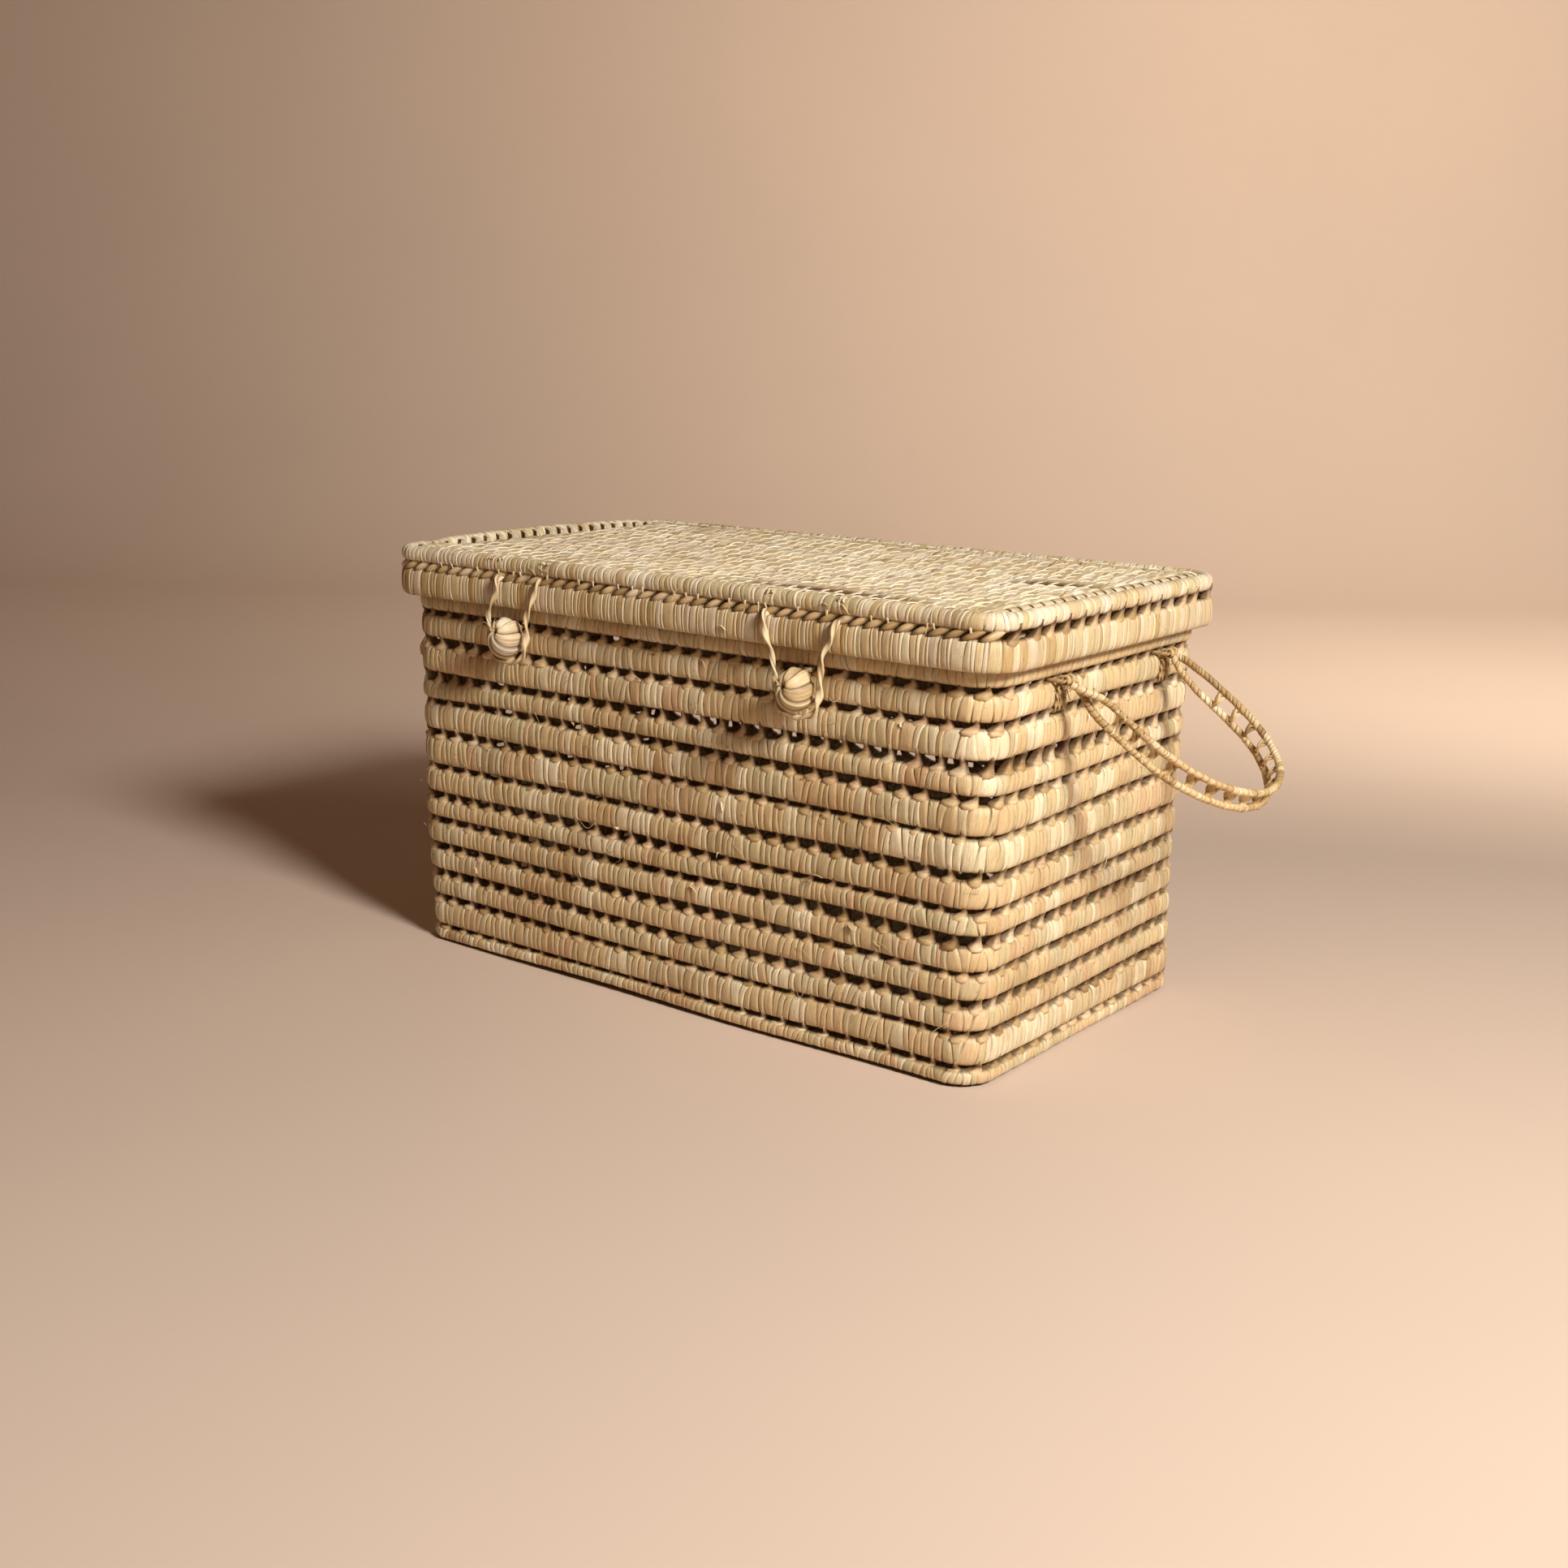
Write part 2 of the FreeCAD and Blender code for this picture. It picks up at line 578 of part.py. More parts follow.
# Each closure: its place, how far the ball hangs below its pivot, and the loop's two ends.
for name, x, drop, left, right in (
    ("left", -8 * STITCH_PITCH, 6.0, -138.0, -102.0),
    ("right", 7 * STITCH_PITCH, 10.5, 86.0, 138.0),
):
    toggle(name, x, drop)
    closing_loop(name, x, drop, left, right)
end_handle("right", 1)
end_handle("left", -1)

doc.recompute()

for thing in doc.Objects:
    if "Invalid" in thing.State or "Error" in thing.State:
        raise SystemExit(f"{thing.Label} failed: {thing.State}")
for thing in PARTS:
    if thing.Shape.isNull() or not thing.Shape.isValid():
        raise SystemExit(f"{thing.Label} has no valid shape")

os.makedirs("parts", exist_ok=True)
for thing in PARTS:
    thing.Shape.exportStep(f"parts/{thing.Label}.step")
    print(f"{thing.Label}: {thing.Shape.Volume / 1000:.2f} cm3, {len(thing.Shape.Solids)} solids")
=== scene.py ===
import math

import bpy
import numpy as np
from mathutils import Matrix, Vector


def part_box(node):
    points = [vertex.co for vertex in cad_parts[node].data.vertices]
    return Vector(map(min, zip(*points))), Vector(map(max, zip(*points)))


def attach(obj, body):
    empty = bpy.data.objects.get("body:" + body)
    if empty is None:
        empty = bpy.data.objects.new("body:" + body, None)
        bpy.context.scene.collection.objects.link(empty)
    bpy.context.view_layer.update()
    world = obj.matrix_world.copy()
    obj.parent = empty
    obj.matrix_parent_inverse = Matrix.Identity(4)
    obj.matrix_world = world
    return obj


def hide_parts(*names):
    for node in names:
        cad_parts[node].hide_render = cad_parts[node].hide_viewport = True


# A coiled palm-leaf trunk basket: bundles of fibre wrapped in leaf strips, laid round as rounded
# rectangles and sewn to each other with long stitches that leave small holes between the rows.
# Lengths are in millimetres up to the moment that a mesh is made. A "tone" picks a leaf's colour.
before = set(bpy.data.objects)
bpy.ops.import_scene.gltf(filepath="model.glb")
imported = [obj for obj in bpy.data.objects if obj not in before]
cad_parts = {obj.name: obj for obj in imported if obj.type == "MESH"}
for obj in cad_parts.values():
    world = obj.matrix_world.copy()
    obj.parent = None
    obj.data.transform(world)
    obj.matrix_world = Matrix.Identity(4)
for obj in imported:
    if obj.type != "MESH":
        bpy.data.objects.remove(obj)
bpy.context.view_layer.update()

MM = 0.001
chance = np.random.default_rng(11)

# The coils: how thick or wide each is, and the corner radius of its outside.
WALL_THICK = 11.0
WALL_CORNER = 24.0
LID_CORNER = 27.0
SKIRT_THICK = 9.0
EDGE_WIDE = 12.0
RING_WIDE = 13.0
WALL_ROWS = 13
BASE_ROWS = 15
LID_ROWS = 14
# The foot coil's bundle starts this far up, so that its crowned wraps stay off the floor.
FOOT_CROWN = 1.5
# The wall leans in and out by hand, less and less over CALM_FADE below this level, then not at all.
CALM_LEVEL = 225.0
CALM_FADE = 40.0

# The long stitches: their spacing and number on the long sides and the ends, and by what share of
# the spacing each row is moved on from the one below it. The toggles, handles and ties go through
# row TIE_ROW.
STITCH_PITCH = 16.0
END_PITCH = 16.8
LONG_STITCHES = 28
END_STITCHES = 14
ROW_SHIFT = 0.42
TIE_ROW = 12
STITCH_LEVELS = (
    # share of the way down the open row, mm above that, half width to the left and to the right,
    # the reach outward as a share of half the wall's thickness, and how deep in shade it lies
    (0.0, 4.2, 1.7, 1.7, 0.92, 0.3),
    (0.0, 0.5, 1.7, 1.7, 0.80, 0.85),
    (0.3, 0.0, 2.4, 1.9, 0.64, 0.6),
    (0.65, 0.0, 5.0, 2.0, 0.62, 0.3),
    (1.0, 0.2, 8.6, 2.3, 0.72, 0.1),
    (1.0, -1.4, 9.6, 2.5, 0.84, 0.0),
    (1.0, -3.4, 8.6, 2.3, 0.78, 0.0),
)
FIELD_STITCH = 11.5
BRIDGE_PITCH = 12.5
PETAL_PITCH = 10.8
# Open slits in the lid's top: the row that draws back from each, and where it starts and ends.
SLIT_WIDE = 4.0
LID_SLITS = ((0, 15.0, 195.0), (8, 150.0, 222.0))
# Where the mesh columns of a leaf strip stand across it. The first is the crack before it.
COLUMNS = np.array((0.0, 0.07, 0.20, 0.60, 0.93))

# Each closure: its place in stitches from the middle, and which way the ball's hole faces.
TOGGLES = (("left", -8, (-0.03, -0.88, 0.47)), ("right", 7, (-0.17, -0.94, 0.31)))
# The balls: how many petals each has, and its shape along X, Y and Z as shares of its radius.
PETALS = 7
BALL_SHAPE = np.array((0.82, 0.98, 1.0))
# The closing loops: their cord's thickness, which the stems and ties share, half their width beside
# a ball, and where their ends are along the lid.
CORD_THICK = 3.0
LOOP_SIDE = 16.0
LOOP_ENDS = {"left": (-138.0, -102.0), "right": (86.0, 138.0)}

# The end handles: where they stand, how far they reach out and dip, and how they are plaited.
HANDLE_MIDDLE = END_PITCH / 2
HANDLE_HALF = 4 * END_PITCH
HANDLE_DEEP = 118.0
HANDLE_DIP = 35.0
STRAND_THICK = 4.6
STRAND_APART = 12.0
LEG_RUN = 30.0
STAPLE_HALF = 7.0
LACING_STEP = 14.2

# The camera: its angles in degrees, its distance and aim in metres, and its lens in millimetres.
CAMERA_TURN = 37.0
CAMERA_RISE = 13.3
CAMERA_ROLL = 1.1
CAMERA_AWAY = 1.349
CAMERA_LENS = 43.8
CAMERA_AIM = Vector((-0.016, 0.0139, 0.1222))


def limits(node):
    """The lowest and highest corner of a CAD node, in millimetres."""
    low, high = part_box(node)
    return np.array(low) / MM, np.array(high) / MM


tie_low, tie_high = limits(f"stitch_row_{TIE_ROW:02d}")
TIE_LEVEL = (tie_low[2] + tie_high[2]) / 2


def unit(rows):
    """The same directions, each of length one."""
    return rows / np.linalg.norm(rows, axis=1)[:, None]


def pairs(values):
    """Each value with the one after it: the start and the end of each span."""
    return np.stack([values[:-1], values[1:]], axis=1)


# ---------------------------------------------------------------- meshes
class Leafwork:
    """Lofted leaf shapes gathered into one mesh, with the values that the leaf material reads."""

    def __init__(self):
        self.points, self.faces, self.tones, self.seams, self.uvs = [], [], [], [], []
        self.count = 0

    def loft(self, rings, tones, seams, across, closed=False, lengthwise=False):
        """Joins rings of points that turn from the first direction over the second.

        tones, and the dark seams with painted shade, hold one value, one for each span or ring, or one
        for each point of each.
        across is the start and end of each span across its leaf. Fibres run round the rings, or
        from ring to ring if lengthwise."""
        rings = np.asarray(rings, float)
        n, m = rings.shape[:2]
        spans = n if closed else n - 1
        tones, seams = np.asarray(tones, float), np.asarray(seams, float)
        tones = np.broadcast_to(tones[:, None] if tones.ndim == 1 else tones, (spans, m))
        seams = np.broadcast_to(seams[:, None] if seams.ndim == 1 else seams, (n, m))
        first = np.arange(spans)[:, None] * m
        after = ((np.arange(spans) + 1) % n)[:, None] * m
        here, over = np.arange(m), (np.arange(m) + 1) % m
        quads = np.stack([first + here, after + here, after + over, first + over], axis=-1)
        self.faces += (quads.reshape(-1, 4) + self.count).tolist()
        steps = np.linalg.norm(np.roll(rings, -1, axis=1) - rings, axis=2).mean(axis=0)
        around = np.concatenate([[0.0], np.cumsum(steps)])
        u = np.stack([across[:, 0], across[:, 1], across[:, 1], across[:, 0]], axis=1)
        v = np.stack([around[:-1], around[:-1], around[1:], around[1:]], axis=1)
        uv = np.empty((spans, m, 4, 2))
        uv[..., 1 if lengthwise else 0] = u[:, None, :]
        uv[..., 0 if lengthwise else 1] = v[None, :, :]
        self.uvs.append(uv.reshape(-1, 2))
        self.tones.append(tones.ravel())
        if not closed:
            self.faces.append((np.arange(m) + self.count).tolist())
            self.faces.append((np.arange(m)[::-1] + self.count + (n - 1) * m).tolist())
            self.tones.append(tones[[0, -1], 0])
            self.uvs.append(np.zeros((2 * m, 2)))
        self.points.append(rings.reshape(-1, 3))
        self.seams.append(seams.reshape(-1))
        self.count += n * m

    def piece(self, name, body, slot, nodes):
        """Makes the object, which rides on a body and stands for those CAD nodes."""
        mesh = bpy.data.meshes.new(name)
        mesh.from_pydata((np.concatenate(self.points) * MM).tolist(), [], self.faces)
        tone = mesh.attributes.new("tone", "FLOAT", "FACE")
        tone.data.foreach_set("value", np.concatenate(self.tones).astype(np.float32))
        # The dark seams between strips, with the painted shade, that the leaf material darkens by.
        seam = mesh.attributes.new("seam", "FLOAT", "POINT")
        seam.data.foreach_set("value", np.concatenate(self.seams).astype(np.float32))
        layer = mesh.uv_layers.new(name="leaf")
        layer.data.foreach_set("uv", (np.concatenate(self.uvs) * MM).astype(np.float32).ravel())
        mesh.polygons.foreach_set("use_smooth", [True] * len(mesh.polygons))
        thing = bpy.data.objects.new(name, mesh)
        bpy.context.scene.collection.objects.link(thing)
        thing.data.materials.append(LEAF[slot])
        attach(thing, body)
        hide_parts(*nodes)
        return thing


def oval(half_out, half_up, count, power=2.0):
    """A squarish oval from the outside over the top: its points, the way each faces and its height."""
    angle = np.arange(count) / count * 2 * math.pi
    c, s = np.cos(angle), np.sin(angle)
    bend = 2 / power
    points = np.stack(
        [half_out * np.sign(c) * abs(c) ** bend, half_up * np.sign(s) * abs(s) ** bend], axis=1
    )
    facing = np.stack(
        [np.sign(c) * abs(c) ** (2 - bend) / half_out, np.sign(s) * abs(s) ** (2 - bend) / half_up],
        axis=1,
    )
    return points, unit(facing), s


# ---------------------------------------------------------------- materials
class Graph:
    """A material's nodes. noise, ranged and tinted return the socket that the next node reads."""

    def __init__(self, name, specular):
        self.material = bpy.data.materials.new(name)
        self.material.use_nodes = True
        self.tree = self.material.node_tree
        self.shader = self.tree.nodes["Principled BSDF"]
        self.shader.inputs["Specular IOR Level"].default_value = specular

    def add(self, kind, **settings):
        """A new node. A setting is one of its inputs or, where it has none so named, a property."""
        node = self.tree.nodes.new(kind)
        for key, value in settings.items():
            if key in node.inputs:
                node.inputs[key].default_value = value
            else:
                setattr(node, key, value)
        return node

    def link(self, start, end):
        """Joins an output socket to an input socket."""
        self.tree.links.new(start, end)

    def noise(self, place, scale, detail, rough):
        """The value of a noise texture at a place."""
        node = self.add("ShaderNodeTexNoise", Scale=scale, Detail=detail, Roughness=rough)
        self.link(place, node.inputs["Vector"])
        return node.outputs["Fac"]

    def ranged(self, value, start, end, low, high):
        """A value from start to end, spread over low to high."""
        node = self.add("ShaderNodeMapRange")
        for name, number in zip(("From Min", "From Max", "To Min", "To Max"), (start, end, low, high)):
            node.inputs[name].default_value = number
        self.link(value, node.inputs["Value"])
        return node.outputs["Result"]

    def tinted(self, colour, tint, share):
        """A colour multiplied by a tint, as far as share says."""
        node = self.add("ShaderNodeMix", data_type="RGBA", blend_type="MULTIPLY")
        node.inputs["B"].default_value = (*tint, 1)
        self.link(share, node.inputs["Factor"])
        self.link(colour, node.inputs["A"])
        return node.outputs["Result"]


# What the leaf's colour is multiplied by in its dark specks, and in its dark seams and painted shade.
SPECK_TINT = (0.50, 0.33, 0.17)
SEAM_AND_SHADE_TINT = (0.13, 0.065, 0.025)


def leaf_material(name, palette, worn, rough):
    """Dried palm leaf: a colour for each strip, fibres along it, dark seams with painted shade, and
    stained patches.
    """
    graph = Graph(name, 0.38)
    tone = graph.add("ShaderNodeAttribute", attribute_name="tone")
    seam = graph.add("ShaderNodeAttribute", attribute_name="seam")
    ramp = graph.add("ShaderNodeValToRGB")
    colours = ramp.color_ramp
    colours.elements[0].color = (*palette[0], 1)
    colours.elements[1].color = (*palette[-1], 1)
    for i, colour in enumerate(palette[1:-1], 1):
        colours.elements.new(i / (len(palette) - 1)).color = (*colour, 1)
    graph.link(tone.outputs["Fac"], ramp.inputs["Fac"])

    uv = graph.add("ShaderNodeUVMap", uv_map="leaf")
    along = graph.add("ShaderNodeMapping", Scale=(2600.0, 70.0, 1.0))
    graph.link(uv.outputs["UV"], along.inputs["Vector"])
    fibre = graph.noise(along.outputs["Vector"], 1.0, 4.0, 0.6)
    place = graph.add("ShaderNodeTexCoord").outputs["Object"]
    patch = graph.noise(place, 26.0, 3.0, 0.55)
    speck = graph.noise(place, 420.0, 2.0, 0.5)

    streaked = graph.add("ShaderNodeVectorMath", operation="SCALE")
    graph.link(ramp.outputs["Color"], streaked.inputs[0])
    graph.link(graph.ranged(fibre, 0.3, 0.7, 0.62, 1.18), streaked.inputs["Scale"])
    colour = graph.tinted(streaked.outputs["Vector"], worn, graph.ranged(patch, 0.48, 0.72, 0.0, 0.55))
    colour = graph.tinted(colour, SPECK_TINT, graph.ranged(speck, 0.66, 0.76, 0.0, 0.45))
    # Dark seams between strips, and painted shade where coils meet, in slits and in recesses.
    colour = graph.tinted(colour, SEAM_AND_SHADE_TINT, seam.outputs["Fac"])
    graph.link(colour, graph.shader.inputs["Base Color"])

    gloss = graph.ranged(fibre, 0.0, 1.0, rough - 0.12, rough + 0.16)
    graph.link(gloss, graph.shader.inputs["Roughness"])
    bump = graph.add("ShaderNodeBump", Strength=0.45, Distance=0.00035)
    graph.link(fibre, bump.inputs["Height"])
    graph.link(bump.outputs["Normal"], graph.shader.inputs["Normal"])
    return graph.material


# Leaf colours. Each material has a palette of them, the tint of its stained patches and a roughness.
BROWN, TAN, PINK = (0.36, 0.215, 0.09), (0.54, 0.36, 0.155), (0.72, 0.48, 0.265)
STRAW, GREEN, CREAM = (0.74, 0.54, 0.285), (0.63, 0.50, 0.275), (0.89, 0.735, 0.475)
PALE, GREY = (0.94, 0.82, 0.61), (0.74, 0.60, 0.42)
LEAF = {
    name: leaf_material(name, palette, worn, rough)
    for name, palette, worn, rough in (
        ("wall_leaf", (TAN, PINK, STRAW, STRAW, GREEN, CREAM, CREAM), (0.66, 0.49, 0.35), 0.46),
        ("stitch_leaf", (BROWN, TAN, STRAW, PINK, CREAM), (0.76, 0.62, 0.48), 0.50),
        ("lid_leaf", (TAN, GREY, STRAW, GREEN, CREAM, GREY, CREAM, PALE), (0.86, 0.80, 0.72), 0.50),
        ("toggle_leaf", (TAN, STRAW, CREAM, STRAW, PALE), (0.85, 0.75, 0.64), 0.44),
        ("cord_leaf", (BROWN, TAN, STRAW, CREAM), (0.80, 0.66, 0.50), 0.50),
    )
}


def paper_material(colour):
    """A painted paper backdrop with a very faint mottle."""
    graph = Graph("backdrop_paper", 0.15)
    mottle = graph.noise(graph.add("ShaderNodeTexCoord").outputs["Object"], 3.0, 4.0, 0.5)
    mixed = graph.add("ShaderNodeVectorMath", operation="SCALE")
    mixed.inputs[0].default_value = colour
    graph.link(graph.ranged(mottle, 0.0, 1.0, 0.97, 1.03), mixed.inputs["Scale"])
    graph.link(mixed.outputs["Vector"], graph.shader.inputs["Base Color"])
    graph.shader.inputs["Roughness"].default_value = 0.85
    return graph.material


# ---------------------------------------------------------------- where coils and stitches run
class Track:
    """A rounded rectangle walked anticlockwise, seen from above, from the middle of its front."""

    def __init__(self, half_x, half_y, radius):
        run_x, run_y, quarter = half_x - radius, half_y - radius, radius * math.pi / 2
        steps = (0, run_x, quarter, 2 * run_y, quarter, 2 * run_x, quarter, 2 * run_y, quarter, run_x)
        self.radius = radius
        self.breaks = np.cumsum(steps)
        self.length = self.breaks[-1]
        self.turns = np.radians((0, 0, 90, 90, 180, 180, 270, 270, 360, 360))
        self.core_x = run_x * np.array((0, 1, 1, 1, 1, -1, -1, -1, -1, 0))
        self.core_y = run_y * np.array((-1, -1, -1, 1, 1, 1, 1, -1, -1, -1))
        self.side_middles = (0, self.breaks[2] + run_y, self.length / 2, self.breaks[6] + run_y)
        self.corner_middles = self.breaks[[1, 3, 5, 7]] + quarter / 2

    def at(self, s):
        """Places, and directions outward and onward, at distances s along the track."""
        s = np.mod(s, self.length)
        turn = np.interp(s, self.breaks, self.turns)
        out = np.stack([np.sin(turn), -np.cos(turn)], axis=-1)
        on = np.stack([np.cos(turn), np.sin(turn)], axis=-1)
        core = np.stack(
            [np.interp(s, self.breaks, self.core_x), np.interp(s, self.breaks, self.core_y)], axis=-1
        )
        return core + self.radius * out, out, on


class Run:
    """A straight coil along X, whose outward side faces the front."""

    def __init__(self, half, y):
        self.length, self.half, self.y = 2 * half, half, y

    def at(self, s):
        """The same as Track.at, at distances from the coil's left end."""
        s = np.asarray(s, float)
        zero, one = np.zeros_like(s), np.ones_like(s)
        place = np.stack([s - self.half, zero + self.y], axis=-1)
        return place, np.stack([zero, -one], axis=-1), np.stack([one, zero], axis=-1)


def track_in(node, thick, corner):
    """The centre line of a coil whose outside is that CAD node's."""
    low, high = limits(node)
    return Track((high[0] - low[0] - thick) / 2, (high[1] - low[1] - thick) / 2, corner - thick / 2)


def stations(track, phase=0.0, loose=0.0):
    """Distances along the track where stitches stand, moved on by a share of their spacing."""
    long_side = (np.arange(LONG_STITCHES) - (LONG_STITCHES - 1) / 2) * STITCH_PITCH
    end_side = (np.arange(END_STITCHES) - (END_STITCHES - 1) / 2) * END_PITCH
    places = [track.side_middles[i] + (end_side if i % 2 else long_side) for i in range(4)]
    spots = np.sort(np.mod(np.concatenate(places + [track.corner_middles]), track.length))
    count = len(spots)
    ring = np.concatenate([spots, [spots[0] + track.length]])
    wanted = np.arange(count) + phase + loose * chance.uniform(-1, 1, count)
    return np.interp(np.mod(wanted, count), np.arange(count + 1), ring)


def wall_warp(track, s, level):
    """How far the hand-made wall leans out and rises there. It is calm under the lid."""
    share = 2 * math.pi * s / track.length
    calm = np.clip((CALM_LEVEL - level) / CALM_FADE, 0.0, 1.0)
    lean = 1.1 * np.sin(3 * share + level / 38 + 1) + 0.7 * np.sin(7 * share - level / 21)
    return calm * lean, 0.0


def still(track, s, level):
    """A coil that neither leans nor rises."""
    return 0.0 * s, 0.0


def leaf_tones(count, change=0.45, spread=0.05):
    """A tone for each strip: one leaf makes a few turns before the next one takes over."""
    tones = np.empty(count)
    tone = chance.beta(2.2, 2.0)
    for i in range(count):
        if chance.random() < change:
            tone = chance.beta(2.2, 2.0)
        tones[i] = tone + chance.normal(0, spread)
    return np.clip(tones, 0.02, 0.98)


def plain_wraps(length, wrap_wide):
    """Where the strips of a coil with no long stitches start."""
    count = round(length / wrap_wide)
    steps = chance.uniform(0.45, 1.55, count)
    starts = np.concatenate([[0.0], np.cumsum(steps)[:-1]]) * length / steps.sum()
    return starts, np.zeros(count, bool)


def wraps_between(spots, length, stitch_wide, wrap_wide):
    """Where each leaf strip starts: a narrow one at each long stitch, and uneven wraps between."""
    starts, stitched = [], []
    order = np.sort(np.mod(spots, length))
    for i, spot in enumerate(order):
        beyond = order[(i + 1) % len(order)] + (length if i + 1 == len(order) else 0.0)
        begin, end = spot + stitch_wide / 2, beyond - stitch_wide / 2
        count = max(1, round((end - begin) / wrap_wide + chance.uniform(-0.4, 0.4)))
        shares = np.concatenate([[0.0], np.cumsum(chance.uniform(0.4, 1.6, count))])
        starts += [spot - stitch_wide / 2, *(begin + (end - begin) * shares[:-1] / shares[-1])]
        stitched += [True] + [False] * count
    return np.array(starts), np.array(stitched)


def strip_columns(starts, stitched, length, groove, crown, proud):
    """The mesh columns of a row of strips: their distances, lifts, seam values and spans."""
    ends = np.append(starts[1:], starts[0] + length)
    wide = (ends - starts)[:, None]
    count = len(starts)
    s = starts[:, None] + COLUMNS * wide
    arch = 0.5 * crown * (1 - (2 * COLUMNS - 1) ** 2)
    tilt = crown * chance.uniform(-0.9, 2.6, (count, 1)) * (COLUMNS - 0.5)
    lift = arch + tilt + proud * stitched[:, None]
    lift[:, 0] = -groove * chance.uniform(0.6, 1.5, count)
    # The crack before each strip is darkened: a dark seam with painted shade in the gap.
    seam = np.zeros_like(s)
    seam[:, 0] = chance.uniform(0.75, 1.0, count)
    seam[:, 1] = chance.uniform(0.0, 0.75, count) * seam[:, 0]
    offset = chance.uniform(0, 400, (count, 1))
    inner = np.concatenate([COLUMNS, [1.0]]) * wide + offset
    across = np.stack([inner[:, :-1], inner[:, 1:]], axis=-1).reshape(-1, 2)
    return s.ravel(), lift.ravel(), seam.ravel(), across


def wrapped_coil(work, track, low, high, thick, strips, knots=None, warp=still, groove=0.7,
                 crown=0.26, lean=1.7, sections=20, power=2.7, drift=0.0, closed=True, proud=0.12,
                 paler=0.10, beside=False, slit=None, shade=(0.9, 0.75), tone_drop=0.0):
    """One bundle wrapped along its track. Its strips gather at the knots of the row above.

    Its neighbours lie beside it or above it, and painted shade darkens it where it meets them and
    in a slit. shade is how dark that painted shade is on the lower or inner side and on the upper or
    outer side, and the tone drop lowers its leaf's tones, or raises them if it is below zero."""
    starts, stitched = strips
    s, lift, seam, across = strip_columns(starts, stitched, track.length, groove, crown, proud)
    per = len(COLUMNS)
    tones = leaf_tones(len(starts)) - tone_drop
    tones[stitched] += paler
    tones = np.clip(tones, 0.0, 1.0)
    points, facing, height = oval(thick / 2 - crown, (high - low) / 2 - 0.4 * crown, sections, power)
    gape = chance.choice((-1.0, 1.0), len(starts)) * chance.uniform(0.5, 1.6, len(starts))
    gape = 0.35 + 0.65 * np.clip(0.25 + np.repeat(gape, per)[:, None] * height, 0, 1)
    lift = np.where(lift[:, None] < 0, lift[:, None] * gape, lift[:, None])
    way = facing[:, 0] if beside else facing[:, 1]
    # Painted shade where the coil meets its neighbours, on the sides that face them.
    joint_shade = np.where(way < 0, *shade) * np.clip((abs(way) - 0.72) / 0.24, 0, 1)
    seam = np.maximum(seam[:, None] * gape, joint_shade)
    bias = lean * chance.normal(0.35, 0.7, len(starts))
    slant = np.interp(np.arange(len(s)) / per, np.arange(len(bias) + 1), np.append(bias, bias[0]))
    moved = s[:, None] + slant[:, None] * height
    if knots is not None:
        gap = np.mod(s[:, None] - knots + track.length / 2, track.length) - track.length / 2
        nearest = gap[np.arange(len(s)), np.argmin(abs(gap), axis=1)]
        pinch = -0.62 * nearest * np.exp(-((nearest / 6.0) ** 2))
        moved += pinch[:, None] * np.maximum(height, 0.0) ** 2
    place, out, _ = track.at(moved)
    level = (low + high) / 2
    share = 2 * math.pi * s / track.length
    phase = chance.uniform(0, 2 * math.pi, 2)
    rise = drift * (np.sin(2 * share + phase[0]) + 0.6 * np.sin(5 * share + phase[1]))
    shift_out, shift_up = warp(track, s, level)
    # Painted shadow in an open slit, on the side of the coil that faces out into it.
    if slit is not None:
        seam = np.maximum(seam, slit(track, s)[:, None] * np.clip(facing[:, 0] * 3 - 0.6, 0, 1))
    reach = points[:, 0] + shift_out[:, None] + facing[:, 0] * lift
    rings = np.empty((*moved.shape, 3))
    rings[..., :2] = place + out * reach[..., None]
    rings[..., 2] = level + (rise + shift_up)[:, None] + points[:, 1] + facing[:, 1] * lift
    tones = np.repeat(tones, per)
    if closed:
        work.loft(rings, tones, seam, across, closed=True)
    else:
        work.loft(rings[1:], tones[1:-1], seam[1:], across[1:-1])


def long_stitches(work, track, spots, low, high, thick, warp=still, flare=1.0):
    """The stitches of one open row: narrow under the upper coil and flared on the lower one."""
    place, out, on = track.at(spots)
    lean_out, _ = warp(track, spots, (low + high) / 2)
    tones = leaf_tones(len(spots), change=0.7)
    for i in range(len(spots)):
        spread = flare * chance.uniform(0.6, 1.15)
        tip = chance.uniform(-1.2, 1.2)
        rings, shades = [], []
        for share, above, left, right, reach, shade in STITCH_LEVELS:
            z = high - share * (high - low) + above
            wide_left = 1.7 + (left - 1.7) * spread
            half = (wide_left + right) / 2
            section, facing, _ = oval(reach * thick / 2, half, 10, 2.6)
            side = (right - wide_left) / 2 + section[:, 1] + tip * (0.5 - share)
            flat = place[i] + out[i] * (lean_out[i] + section[:, :1]) + on[i] * side[:, None]
            rings.append(np.column_stack([flat, np.full(10, z)]))
            shades.append(np.clip(shade + 0.5 * (abs(facing[:, 1]) > 0.8), 0, 0.9))
        start = chance.uniform(0, 400)
        work.loft(rings, tones[i], shades, pairs(np.linspace(start, start + 2.0, len(rings))))


